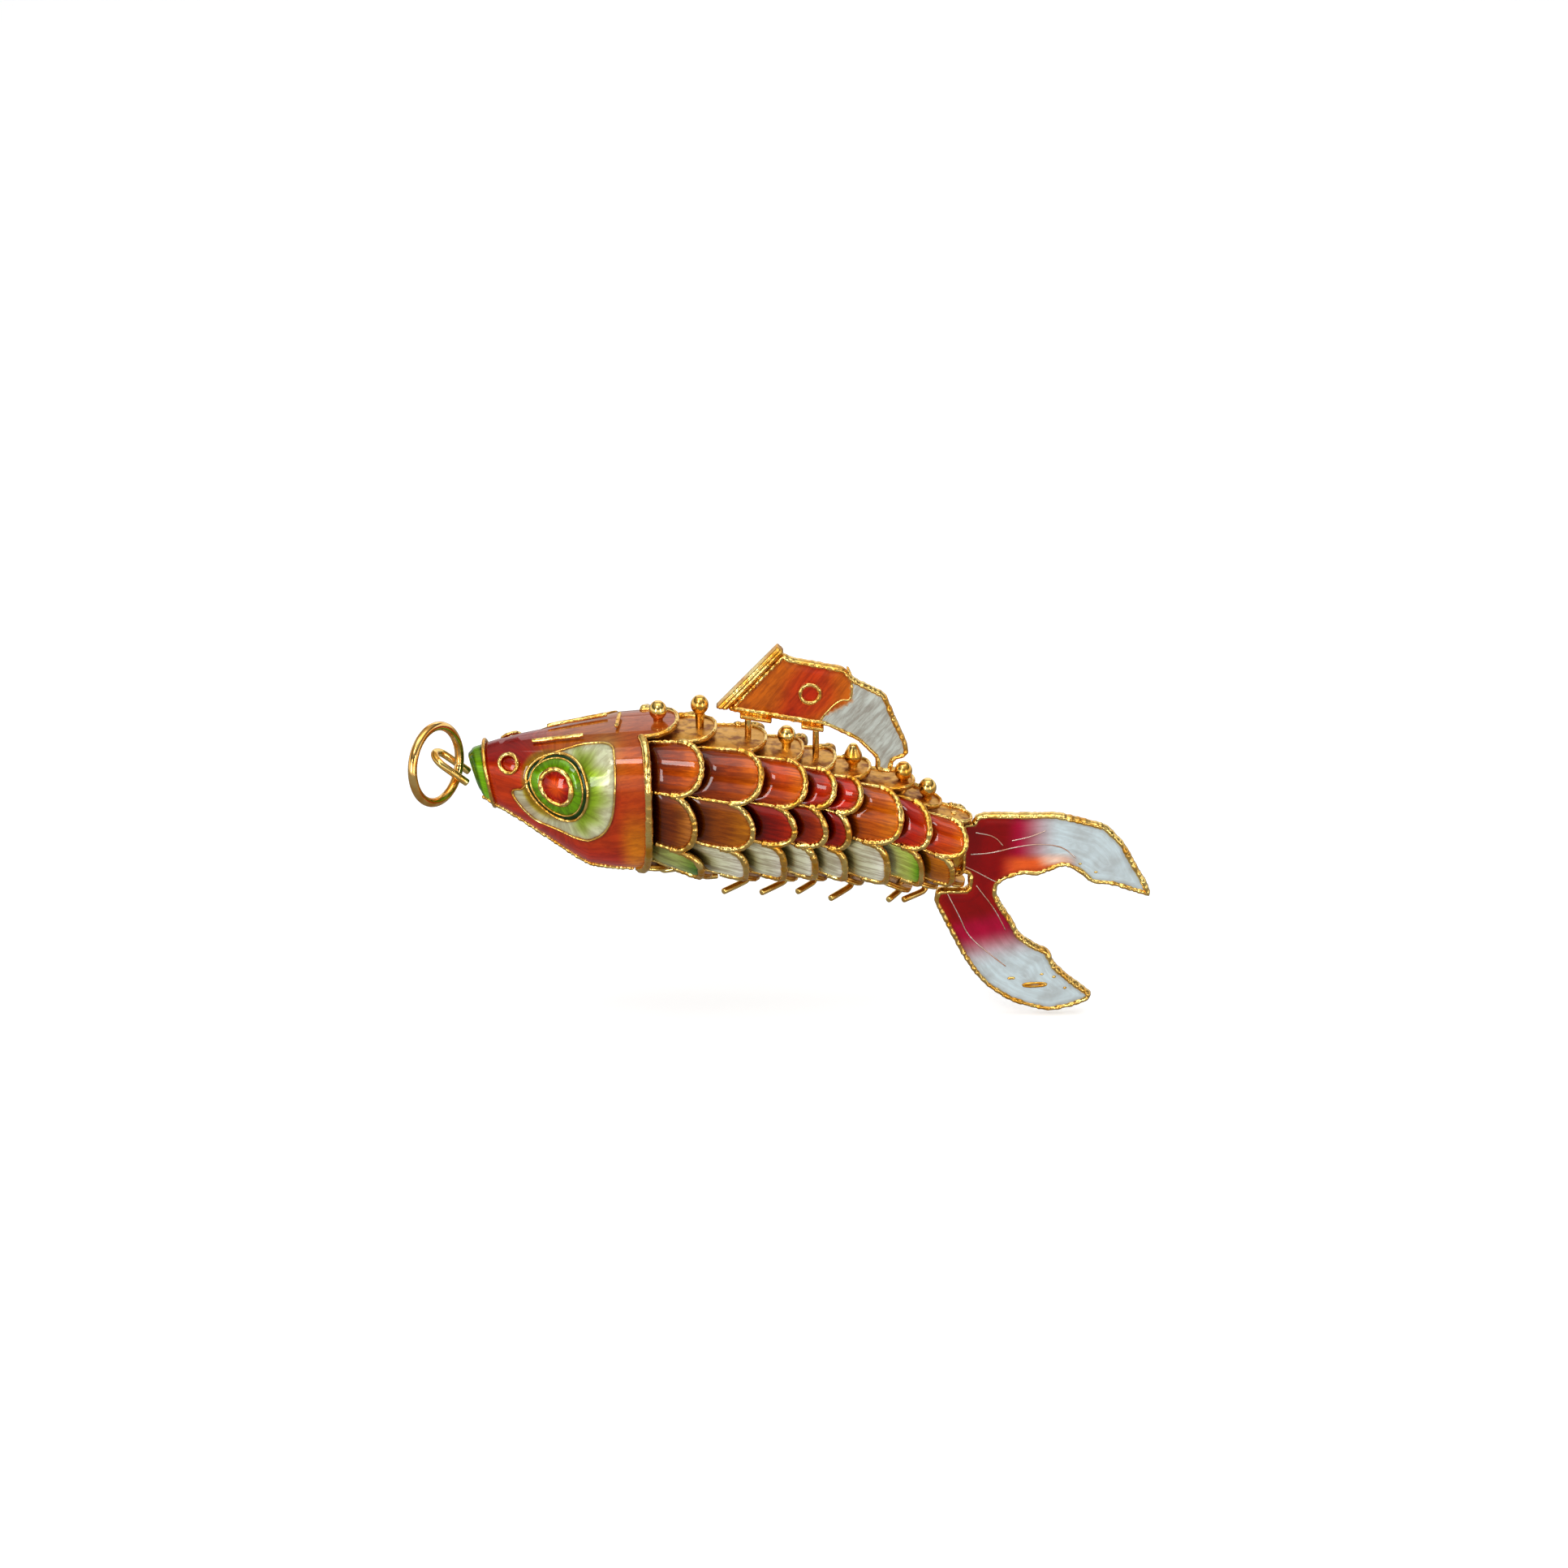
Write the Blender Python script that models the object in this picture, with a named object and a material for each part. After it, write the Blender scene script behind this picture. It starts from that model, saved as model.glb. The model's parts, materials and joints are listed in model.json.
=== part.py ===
"""An articulated enamel koi pendant: a wire ring, a hollow head, eight nested body sleeves that
hinge on vertical pins, a dorsal fin on two of those pins, and a forked tail fin.

The fish swims towards -X with its back at +Z, and the plane y = 0 is its middle. The origin is
the front of the nose eye. All sizes below are in millimetres, and MM turns them into metres.
"""
import math

import bmesh
import bpy
import numpy as np

MM = 0.001

# Wires, walls and clearances
WALL = 0.45                # thickness of the head and of every sleeve
SIDE_GAP = 0.45            # between two nested sleeves at the outer one's rear edge
PLATE_GAP = 0.30           # between two nested back plates or belly strips
FRONT_GAP = 0.65           # between a sleeve's front edge and the sleeve around it
PIN_RADIUS = 0.285
PIN_CLEARANCE = 0.10       # radial, in every pin hole
BALL_RADIUS = 0.85
SEAT_GAP = 0.08            # between pieces that are soldered together
HOLE_EDGE = 0.72           # metal left in front of a pin hole
HOLE_LOW, HOLE_HIGH = -20, 12  # the hole cutters' ends, below the belly and above the back

# Jump ring and nose eye
RING_WIRE = 0.40
RING_RADIUS = 3.34         # to the middle of the wire
RING_TURN = math.radians(58)
RING_LEAN = math.radians(8)    # the ring's top leans forward
RING_LOW = math.radians(-35)   # where the ring's wire goes through the nose eye
EYE_WIRE = 0.34
EYE_HALF_WIDTH = 1.15      # to the middle of the wire
EYE_SLOPE = math.radians(-38.5)
EYE_LENGTH = 4.05          # from its front end to the mouth
THREAD_AT = 2.92           # distance from the eye's front end to the ring's wire

# Head outline: x, back, belly, half-width
HEAD_STATIONS = (
    (3.0, 0.20, -3.30, 1.35),
    (4.2, 0.50, -3.95, 1.85),
    (5.4, 0.82, -4.62, 2.35),
    (7.6, 1.34, -5.92, 3.20),
    (10.0, 1.76, -7.55, 4.10),
    (12.3, 2.16, -9.20, 4.90),
    (13.7, 2.40, -10.08, 5.30),
    (16.0, 2.78, -10.40, 5.75),
    (19.33, 3.05, -10.55, 6.00),
)
MOUTH_X = 3.65
MOUTH_LEAN = 0.53          # the top of the mouth stands this far ahead of its middle
HEAD_HOLLOW_X = 6.2
GILL_X = 19.33
HEAD_TAB_X = 21.6
HEAD_TAB_BELLY = -11.50
HEAD_TAB_HALF = 6.05
TAB_GAP = 0.02             # between the crown tab's end and the first sleeve's back
CROWN_NOTCH_X = 18.2
CHIN_NOTCH_X = 17.84
CHEEK_POWER = 2.6
CROWN_FLATTENS = (10.0, 16.0)  # the crown's round section turns into the back's flat one

# Section shape: exponents of the back half and the belly half
BACK_POWER = 3.0
HEAD_POWER = 2.3
BELLY_POWER = 2.4
STRIP_SHARE = 0.48         # half-width of the flat back strip over the section's half-width
BELLY_EDGE = -0.90         # height of the belly strip's edge in the unit section

# Sleeves from the head to the tail. rows are the unit heights that part the rows of scales,
# ends the rear of each row, notch how far the rows are cut in between
SLEEVES = (
    dict(pin=19.75, front=16.60, rear=23.72, back=2.45, belly=-11.50, half=5.90, tab=24.85,
         rows=(0.39, -0.46), ends=(23.80, 23.20, 23.70), notch=2.4),
    dict(pin=23.36, front=20.50, rear=28.89, back=1.43, belly=-12.10, half=5.60, tab=29.17,
         rows=(0.39, -0.33), ends=(28.90, 28.20, 27.60), notch=2.4),
    dict(pin=27.54, front=24.90, rear=32.64, back=0.36, belly=-12.28, half=5.25, tab=32.36,
         rows=(0.43, -0.20), ends=(32.70, 31.80, 30.90), notch=2.0),
    dict(pin=30.87, front=28.20, rear=35.12, back=-0.54, belly=-12.40, half=4.90, tab=35.19,
         rows=(0.50, -0.20), ends=(35.20, 34.50, 33.60), notch=1.8),
    dict(pin=33.42, front=30.90, rear=37.38, back=-1.38, belly=-12.47, half=4.50, tab=38.23,
         rows=(0.50, -0.20), ends=(37.50, 36.50, 36.20), notch=1.5),
    dict(pin=36.67, front=33.60, rear=40.92, back=-2.80, belly=-12.60, half=4.10, tab=42.00,
         rows=(0.03,), ends=(41.00, 39.90), notch=2.3),
    dict(pin=41.06, front=37.40, rear=43.47, back=-4.55, belly=-12.78, half=3.60, tab=44.30,
         rows=(0.04,), ends=(43.50, 42.90), notch=1.9),
    dict(pin=43.19, front=40.20, rear=46.66, back=-6.30, belly=-12.90, half=3.00, tab=47.00,
         rows=(0.06,), ends=(46.70, 45.60), notch=1.7),
)
TAIL_PIN = 45.50
BELLY_TAB = 1.05           # belly strip behind the pin that it holds
SCALE_POWER = 2.0
BELLY_ROW_POWER = 3.0

# Bent ends of the pins below the belly: direction in plan from +X in degrees, length
PIN_BENDS = ((20, 2.3), (12, 1.5), (226, 3.2), (226, 3.2), (232, 2.6), (232, 3.2), (240, 2.5),
             (222, 2.8))
BEND_RADIUS = 0.55
BELLY_DROP = 0.22          # from the lowest strip near a pin to its bent end
# Ball centres above the plate they stand on, in ball radii; None is a fin post
BALL_STANDS = (1.12, 2.41, None, 1.27, None, 1.12, 1.12, 1.12)

# Dorsal fin
FIN_HALF_THICK = 0.50
BAND_HALF_THICK = 0.72
BAND_WIDTH = 0.80
BAND_HEEL = (1.067, -0.16)   # from the foot to the band's rear lower corner
FIN_FOOT = (24.78, 4.41)
FIN_PEAK = (30.02, 10.09)
FIN_EDGE = ((31.0, 8.95), (35.9, 7.96), (36.6, 7.01), (39.4, 5.52), (40.2, 3.39), (41.3, 0.9),
            (41.45, -0.30), (40.15, -0.72), (39.95, -1.95), (38.62, -1.70), (38.75, -0.60),
            (37.0, 1.25), (34.2, 2.68))
FLANGE_SPANS = ((26.85, 29.60), (32.15, 34.10))
FLANGE_HALF = 1.00
FLANGE_THICK = 0.35
ORNAMENT = (32.9, 5.75)
ORNAMENT_RADIUS = 0.90
ORNAMENT_WIRE = 0.16
POST_AT = (2, 4)           # the fin stands on the pins of these sleeves

# Tail fin outline, round the upper lobe, the fork and the lower lobe
TAIL_HALF_THICK = 0.52
TAIL_EDGE = ((47.35, -6.20), (48.36, -5.99), (51.5, -6.05), (54.5, -5.99), (56.4, -6.46),
             (58.9, -7.17), (60.5, -8.90), (61.6, -11.03), (62.5, -12.60), (63.1, -14.10),
             (61.6, -13.60), (59.6, -12.90), (57.8, -12.77), (56.7, -11.66), (55.3, -10.95),
             (53.0, -11.98), (51.7, -11.80), (50.3, -12.30), (49.5, -12.80), (49.3, -13.80),
             (49.9, -15.05), (50.9, -16.60), (51.5, -17.97), (53.0, -19.07), (54.1, -19.50),
             (54.7, -20.96), (56.1, -22.30), (58.1, -23.90), (57.8, -24.50), (56.4, -25.10),
             (54.4, -25.60), (52.4, -25.10), (50.8, -24.50), (48.8, -23.10), (47.6, -21.70),
             (46.4, -19.70), (45.5, -17.80), (44.5, -15.70), (43.95, -14.60))
BARREL_RADIUS = 0.95
BARREL_SIDES = 18
BARREL_INSET = 0.02        # the barrel's ends lie this far inside the plate's
TAIL_GAP = 0.40            # between the tail plate and the last sleeve

# Raised work on the head: x, unit angle from the crown, radius
EYE_AT = (11.1, math.radians(69))
EYE_BOSS_RADIUS = 2.75
EYE_BOSS_HEIGHT = 0.42
NOSTRIL_AT = (6.9, math.radians(52))
NOSTRIL_RADIUS = 0.80
TRIM_WIRE = 0.17
MOUTH_WIRE = 0.20
MOUTH_WIRE_X = 5.15
# Crown wires: front, rear, unit angle; and the short one across: x, how far it bows, half span
CROWN_WIRES = {"left": (8.9, 13.4, -0.34), "right": (10.1, 15.3, 0.26)}
CROSS_WIRE = (16.3, 0.5, 0.22)

# Base colours
SLEEVE_COLOURS = ((0.35, 0.12, 0.03), (0.38, 0.13, 0.04), (0.45, 0.12, 0.03), (0.42, 0.07, 0.02),
                  (0.45, 0.04, 0.03), (0.55, 0.20, 0.04), (0.50, 0.05, 0.02), (0.60, 0.15, 0.03))
HEAD_COLOUR = (0.55, 0.14, 0.07)
EYE_COLOUR = (0.12, 0.30, 0.02)
FIN_COLOUR = (0.65, 0.22, 0.05)
TAIL_COLOUR = (0.40, 0.01, 0.03)
GILT_COLOUR = (0.90, 0.62, 0.20)

SIDES = 10                 # facets round a wire
EDGE_STRIP = 0.15          # narrowest strip of faces beside a shell's edge


# Section and profile curves

def unit_section(angle, back_power):
    """Point (y, z) of the unit section, angle 0 at the back and growing towards +Y."""
    y, z = math.sin(angle), math.cos(angle)
    power = back_power if z >= 0 else BELLY_POWER
    size = (abs(y) ** power + abs(z) ** power) ** (-1 / power)
    return y * size, z * size


def angle_at_height(height):
    """Angle on the +Y side at which a sleeve's unit section has this height."""
    power = BACK_POWER if height >= 0 else BELLY_POWER
    return math.atan2((1 - abs(height) ** power) ** (1 / power), height)


def strip_angle():
    """Angle of the edge of the back strip."""
    return math.atan2(STRIP_SHARE, (1 - STRIP_SHARE ** BACK_POWER) ** (1 / BACK_POWER))


class Profile:
    """Back height, belly height and half-width of one shell along x, as straight stretches."""

    def __init__(self, knots, back_power=None):
        self.knots = sorted(knots)
        self.back_power = back_power or (lambda x: BACK_POWER)

    def at(self, x):
        """Back, belly and half-width at x, carried on straight past the ends."""
        knots = self.knots
        last = len(knots) - 2
        index = min(max(sum(k[0] < x for k in knots) - 1, 0), last)
        low, high = np.array(knots[index]), np.array(knots[index + 1])
        return low[1:] + (high[1:] - low[1:]) * (x - low[0]) / (high[0] - low[0])

    def point(self, x, angle, inset=0.0):
        """Point of the shell's surface, or of the surface that lies this far inside it."""
        back, belly, half = self.at(x)
        y, z = unit_section(angle, self.back_power(x))
        middle, tall = (back + belly) / 2, (back - belly) / 2
        return np.array((x, y * (half - inset), middle + z * (tall - inset)))

    def normal(self, x, angle):
        """Outward unit normal of the surface."""
        step = 0.02
        along = self.point(x + step, angle) - self.point(x - step, angle)
        round_it = self.point(x, angle + step) - self.point(x, angle - step)
        across = np.cross(along, round_it)
        across /= np.linalg.norm(across)
        centre = self.point(x, 0) / 2 + self.point(x, math.pi) / 2
        return across if across @ (self.point(x, angle) - centre) > 0 else -across


def head_power(x):
    """The crown is rounder at the nose and flattens towards the back plates."""
    share = min(max((x - CROWN_FLATTENS[0]) / (CROWN_FLATTENS[1] - CROWN_FLATTENS[0]), 0), 1)
    return HEAD_POWER + (BACK_POWER - HEAD_POWER) * share


def crown_tab_back():
    """Back height of the crown tab's end, just clear of the first sleeve under it."""
    first = SLEEVES[0]
    under = HEAD_STATIONS[-1][1] - WALL - PLATE_GAP
    share = (HEAD_TAB_X - GILL_X) / (first["rear"] - GILL_X)
    return under + (first["back"] - under) * share + WALL + TAB_GAP


def sleeve_profiles():
    """Profiles of the head and the sleeves, each nested inside the one before it."""
    tab_end = (HEAD_TAB_X, crown_tab_back(), HEAD_TAB_BELLY, HEAD_TAB_HALF)
    profiles = [Profile((*HEAD_STATIONS, tab_end), head_power)]
    edge = GILL_X
    for sleeve in SLEEVES:
        outer = profiles[-1]
        back, belly, half = outer.at(edge)
        inside = WALL + PLATE_GAP
        under = (edge, back - inside, belly + inside, half - WALL - SIDE_GAP)
        back, belly, half = outer.at(sleeve["front"])
        inside = WALL + FRONT_GAP
        front = (sleeve["front"], back - WALL - PLATE_GAP, belly + WALL + PLATE_GAP, half - inside)
        rear = (sleeve["rear"], sleeve["back"], sleeve["belly"], sleeve["half"])
        profiles.append(Profile((front, under, rear)))
        edge = sleeve["rear"]
    return profiles


# Mesh helpers

def make_object(name, points, faces, origin, material):
    """Closed mesh object from points in millimetres, with its own origin on its joint's axis."""
    mesh = bpy.data.meshes.new(name)
    local = [tuple((np.array(p, float) - origin) * MM) for p in points]
    mesh.from_pydata(local, [], faces)
    work = bmesh.new()
    work.from_mesh(mesh)
    bmesh.ops.recalc_face_normals(work, faces=work.faces)
    work.to_mesh(mesh)
    work.free()
    mesh.shade_smooth()
    mesh.set_sharp_from_angle(angle=math.radians(40))
    mesh.materials.append(material)
    obj = bpy.data.objects.new(name, mesh)
    obj.location = tuple(np.array(origin) * MM)
    bpy.context.scene.collection.objects.link(obj)
    return obj


def loop_faces(rings, count):
    """Quads between rings of count points each, numbered one ring after another."""
    faces = []
    for ring in range(rings - 1):
        for i in range(count):
            j = (i + 1) % count
            a, b = ring * count, (ring + 1) * count
            faces.append((a + i, a + j, b + j, b + i))
    return faces


def swept(path, radii, sides=SIDES, closed=False):
    """Points and faces of a round wire along a path of points, capped unless it is closed."""
    path = [np.array(p, float) for p in path]
    count = len(path)
    points = []
    side = None
    for i, here in enumerate(path):
        ahead = path[(i + 1) % count] if closed or i + 1 < count else here
        behind = path[i - 1] if closed or i else here
        along = ahead - behind
        along /= np.linalg.norm(along)
        if side is None:
            side = np.cross(along, (0.0, 1.0, 0.0) if abs(along[1]) < 0.9 else (1.0, 0.0, 0.0))
        side = side - along * (side @ along)
        side /= np.linalg.norm(side)
        over = np.cross(along, side)
        for k in range(sides):
            turn = 2 * math.pi * k / sides
            points.append(here + radii[i] * (math.cos(turn) * side + math.sin(turn) * over))
    faces = loop_faces(count, sides)
    if closed:
        start = (count - 1) * sides
        faces += [(start + k, start + (k + 1) % sides, (k + 1) % sides, k) for k in range(sides)]
    else:
        faces.append(tuple(range(sides))[::-1])
        faces.append(tuple(range((count - 1) * sides, count * sides)))
    return points, faces


def extruded(outline, half_thick):
    """Plate in the middle plane from an outline of (x, z) points."""
    count = len(outline)
    points = [(x, y, z) for y in (-half_thick, half_thick) for x, z in outline]
    faces = [tuple(range(count)), tuple(range(count, 2 * count))[::-1]]
    faces += [(i, (i + 1) % count, (i + 1) % count + count, i + count) for i in range(count)]
    return points, faces


def cutter_along_z(name, x, radius, low, high):
    """Vertical round cutter, hidden from renders."""
    ring = [(x + radius * math.cos(t), radius * math.sin(t))
            for t in np.linspace(0, 2 * math.pi, 12, endpoint=False)]
    points = [(px, py, z) for z in (low, high) for px, py in ring]
    count = len(ring)
    faces = loop_faces(2, count) + [tuple(range(count))[::-1], tuple(range(count, 2 * count))]
    obj = make_object(name, points, faces, (x, 0, 0), material("cutter", (0.5, 0.5, 0.5), 0.5, 0))
    obj.hide_render = True
    obj.display_type = "WIRE"
    return obj


def cut(obj, cutter):
    """Boolean difference with the exact solver."""
    modifier = obj.modifiers.new("hole", "BOOLEAN")
    modifier.operation = "DIFFERENCE"
    modifier.solver = "EXACT"
    modifier.object = cutter


def material(name, colour, roughness, metallic):
    """Principled material, made once for each name."""
    found = bpy.data.materials.get(name)
    if found:
        return found
    made = bpy.data.materials.new(name)
    made.use_nodes = True
    shader = made.node_tree.nodes["Principled BSDF"]
    shader.inputs["Base Color"].default_value = (*colour, 1)
    shader.inputs["Roughness"].default_value = roughness
    shader.inputs["Metallic"].default_value = metallic
    return made


def gilt():
    """Polished gilt metal."""
    return material("gilt_metal", GILT_COLOUR, 0.18, 1)


def enamel(name, colour):
    """Glassy enamel."""
    return material(f"enamel_{name}", colour, 0.12, 0)


# Shells

class Row:
    """One row of the shell's rear edge: a stretch of angles, its rear end and its side notches."""

    def __init__(self, start, stop, end, notches, power, steps):
        self.start, self.stop, self.end = start, stop, end
        self.notches, self.power, self.steps = notches, power, steps

    def columns(self):
        """(angle, rear x, share across the row) of each column, leaving out the last edge."""
        for step in range(self.steps):
            share = math.sin(math.pi / 2 * (2 * step / self.steps - 1))
            angle = self.start + (self.stop - self.start) * (share + 1) / 2
            valley = self.notches[0] + (self.notches[1] - self.notches[0]) * (share + 1) / 2
            swell = max(1 - abs(share) ** self.power, 0) ** (1 / self.power)
            yield angle, valley + (self.end - valley) * swell, share


def mirrored_rows(strip, side_rows, belly):
    """Rows all the way round: back strip, +Y side down, belly strip, -Y side up."""
    other = [Row(2 * math.pi - r.stop, 2 * math.pi - r.start, r.end, r.notches[::-1], r.power,
                 r.steps) for r in reversed(side_rows)]
    return [strip, *side_rows, belly, *other]


def shell(name, profile, columns, stations, origin, look):
    """Open sleeve of WALL thickness. columns holds (angle, front x, rear x), stations the x
    values of the rings between its two edges."""
    def rings(inset):
        for index in range(len(stations) + 2):
            for angle, front, rear in columns:
                if index == 0:
                    x = front
                elif index > len(stations):
                    x = rear
                else:
                    x = min(max(stations[index - 1], front + EDGE_STRIP), rear - EDGE_STRIP)
                yield profile.point(x, angle, inset)

    count, levels = len(columns), len(stations) + 2
    points = list(rings(0)) + list(rings(WALL))
    outer = loop_faces(levels, count)
    inner = [tuple(i + count * levels for i in f)[::-1] for f in outer]
    faces = outer + inner
    for ring in (0, levels - 1):
        for i in range(count):
            j = (i + 1) % count
            a, b = ring * count, (ring + levels) * count
            face = (a + i, a + j, b + j, b + i)
            faces.append(face[::-1] if ring == 0 else face)
    return make_object(name, points, faces, origin, look)


def sleeve(number, profiles, origin):
    """Body sleeve with its rows of scales, back tab and belly strip."""
    spec = SLEEVES[number]
    rear_pin = SLEEVES[number + 1]["pin"] if number + 1 < len(SLEEVES) else TAIL_PIN
    edge = strip_angle()
    bounds = [edge, *(angle_at_height(h) for h in spec["rows"]), angle_at_height(BELLY_EDGE)]
    side = []
    for index, end in enumerate(spec["ends"]):
        cuts = [min(spec["ends"][max(index - 1, 0)], end) - spec["notch"],
                min(spec["ends"][min(index + 1, len(spec["ends"]) - 1)], end) - spec["notch"]]
        last = index == len(spec["ends"]) - 1
        power = BELLY_ROW_POWER if last else SCALE_POWER
        side.append(Row(bounds[index], bounds[index + 1], end, cuts, power, 4 if last else 6))
    strip = Row(-edge, edge, spec["tab"], (side[0].notches[0],) * 2, 2.4, 4)
    belly = Row(bounds[-1], 2 * math.pi - bounds[-1], rear_pin + BELLY_TAB,
                (side[-1].notches[1],) * 2, 2.4, 4)
    columns = []
    plate_front = spec["pin"] - PIN_RADIUS - PIN_CLEARANCE - HOLE_EDGE
    for row in mirrored_rows(strip, side, belly):
        for angle, rear, share in row.columns():
            front = spec["front"]
            if row in (strip, belly):
                front = plate_front - (plate_front - front) * abs(share) ** 6
            columns.append((angle, front, rear))
    previous = GILL_X if number == 0 else SLEEVES[number - 1]["rear"]
    look = enamel(f"sleeve_{number + 1}", SLEEVE_COLOURS[number])
    return shell(f"segment_{number + 1}", profiles[number + 1], columns, [previous], origin, look)


def head_shell(profile, origin):
    """Hollow head: closed mouth, crown tab, gill edges and belly tab."""
    edge = strip_angle()
    chin = angle_at_height(BELLY_EDGE)
    strip = Row(-edge, edge, HEAD_TAB_X, (CROWN_NOTCH_X,) * 2, 2.4, 6)
    cheek = Row(edge, chin, GILL_X, (CROWN_NOTCH_X, CHIN_NOTCH_X), CHEEK_POWER, 12)
    belly = Row(chin, 2 * math.pi - chin, SLEEVES[0]["pin"] + BELLY_TAB, (CHIN_NOTCH_X,) * 2,
                2.4, 4)
    columns = [c for row in mirrored_rows(strip, [cheek], belly) for c in row.columns()]
    stations = [s[0] for s in HEAD_STATIONS if MOUTH_X + MOUTH_LEAN < s[0] <= GILL_X]
    hollow = [HEAD_HOLLOW_X] + [s for s in stations if s > HEAD_HOLLOW_X]

    def ring(x, inset):
        return [profile.point(min(x, rear - EDGE_STRIP), a, inset) for a, rear, _ in columns]

    count = len(columns)
    points = [profile.point(MOUTH_X - MOUTH_LEAN * math.cos(a), a) for a, _, _ in columns]
    for x in stations:
        points += ring(x, 0)
    points += [profile.point(rear, a) for a, rear, _ in columns]
    points += [profile.point(rear, a, WALL) for a, rear, _ in columns]
    for x in reversed(hollow):
        points += ring(x, WALL)
    levels = len(points) // count
    faces = loop_faces(levels, count)
    faces.append(tuple(range(count))[::-1])
    faces.append(tuple(range((levels - 1) * count, levels * count)))
    return make_object("head_shell", points, faces, origin, enamel("head", HEAD_COLOUR))


# Wires and raised work on the head

def surface_wire(name, profile, places, radius, origin, closed=False):
    """Wire soldered along (x, angle) places on the head."""
    path = [profile.point(x, a) + profile.normal(x, a) * (radius + SEAT_GAP) for x, a in places]
    points, faces = swept(path, [radius] * len(path), 6, closed)
    return make_object(name, points, faces, origin, gilt())


def disc_places(profile, centre, radius, steps):
    """(x, angle) places on a circle of this radius round a place on the head."""
    x, angle = centre
    per_radian = np.linalg.norm(profile.point(x, angle + 0.05) - profile.point(x, angle - 0.05)) / 0.1
    return [(x + radius * math.cos(t), angle + radius * math.sin(t) / per_radian)
            for t in np.linspace(0, 2 * math.pi, steps, endpoint=False)]


def eye_boss(name, profile, side, origin):
    """Domed eye that follows the cheek, solid from just above the surface to its crown."""
    x, angle = EYE_AT
    centre = (x, side * angle)
    rims = [(1.0, 0.16), (0.72, 0.30), (0.45, 0.36), (0.2, EYE_BOSS_HEIGHT)]
    steps = 20
    points = []
    for share, height in [(1.0, SEAT_GAP)] + rims:
        for px, pa in disc_places(profile, centre, share * EYE_BOSS_RADIUS, steps):
            points.append(profile.point(px, pa) + profile.normal(px, pa) * height)
    top = profile.point(*centre) + profile.normal(*centre) * EYE_BOSS_HEIGHT
    under = []
    for share in (0.72, 0.4):
        for px, pa in disc_places(profile, centre, share * EYE_BOSS_RADIUS, steps):
            under.append(profile.point(px, pa) + profile.normal(px, pa) * SEAT_GAP)
    base = profile.point(*centre) + profile.normal(*centre) * SEAT_GAP
    levels = len(points) // steps
    faces = loop_faces(levels, steps)
    crown = len(points)
    points.append(top)
    last = (levels - 1) * steps
    faces += [(last + i, last + (i + 1) % steps, crown) for i in range(steps)]
    start = len(points)
    points += under
    faces += [(i, start + i, start + (i + 1) % steps, (i + 1) % steps) for i in range(steps)]
    faces += [(start + i, start + steps + i, start + steps + (i + 1) % steps,
               start + (i + 1) % steps) for i in range(steps)]
    floor = len(points)
    points.append(base)
    faces += [(start + steps + i, floor, start + steps + (i + 1) % steps) for i in range(steps)]
    return make_object(name, points, faces, origin, enamel("eye", EYE_COLOUR))


def head_trim(profile, origin):
    """Mouth wire, eyes, nostril rings and crown wires."""
    turns = np.linspace(0, 2 * math.pi, 24, endpoint=False)
    mouth = [(MOUTH_WIRE_X - MOUTH_LEAN * math.cos(t), t) for t in turns]
    surface_wire("mouth_wire", profile, mouth, MOUTH_WIRE, origin, True)
    for word, side in (("left", -1), ("right", 1)):
        eye_boss(f"eye_{word}", profile, side, origin)
        ring = disc_places(profile, (NOSTRIL_AT[0], side * NOSTRIL_AT[1]), NOSTRIL_RADIUS, 14)
        surface_wire(f"nostril_ring_{word}", profile, ring, TRIM_WIRE, origin, True)
    for word, (start, stop, angle) in CROWN_WIRES.items():
        places = [(x, angle) for x in np.linspace(start, stop, 6)]
        surface_wire(f"crown_wire_{word}", profile, places, TRIM_WIRE, origin)
    x, bow, span = CROSS_WIRE
    across = [(x + bow * math.sin(t), t) for t in np.linspace(-span, span, 5)]
    surface_wire("crown_cross_wire", profile, across, TRIM_WIRE, origin)


def nose_eye(origin):
    """Wire eye: a half circle at the front and two legs to the mouth."""
    reach = math.cos(EYE_SLOPE), math.sin(EYE_SLOPE)
    bend = EYE_WIRE + EYE_HALF_WIDTH
    flat = [(EYE_LENGTH, -EYE_HALF_WIDTH)]
    for t in np.linspace(-math.pi / 2, -3 * math.pi / 2, 9):
        flat.append((bend + EYE_HALF_WIDTH * math.cos(t), EYE_HALF_WIDTH * math.sin(t)))
    flat.append((EYE_LENGTH, EYE_HALF_WIDTH))
    path = [(s * reach[0], y, s * reach[1]) for s, y in flat]
    points, faces = swept(path, [EYE_WIRE] * len(path), 8)
    return make_object("nose_eye", points, faces, origin, gilt())


def thread_point():
    """Where the middle of the ring's wire goes through the nose eye."""
    return np.array((THREAD_AT * math.cos(EYE_SLOPE), 0, THREAD_AT * math.sin(EYE_SLOPE)))


def jump_ring():
    """Round wire ring through the nose eye."""
    turned, lean = math.cos(RING_TURN), RING_LEAN
    across = np.array((turned * math.cos(lean), math.sin(RING_TURN), turned * math.sin(lean)))
    up = np.array((-math.sin(lean), 0, math.cos(lean)))
    centre = thread_point() - RING_RADIUS * (math.cos(RING_LOW) * across + math.sin(RING_LOW) * up)
    path = [centre + RING_RADIUS * (math.cos(t) * across + math.sin(t) * up)
            for t in np.linspace(0, 2 * math.pi, 32, endpoint=False)]
    points, faces = swept(path, [RING_WIRE] * len(path), 8, True)
    return make_object("jump_ring", points, faces, thread_point(), gilt())


# Pins

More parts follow.
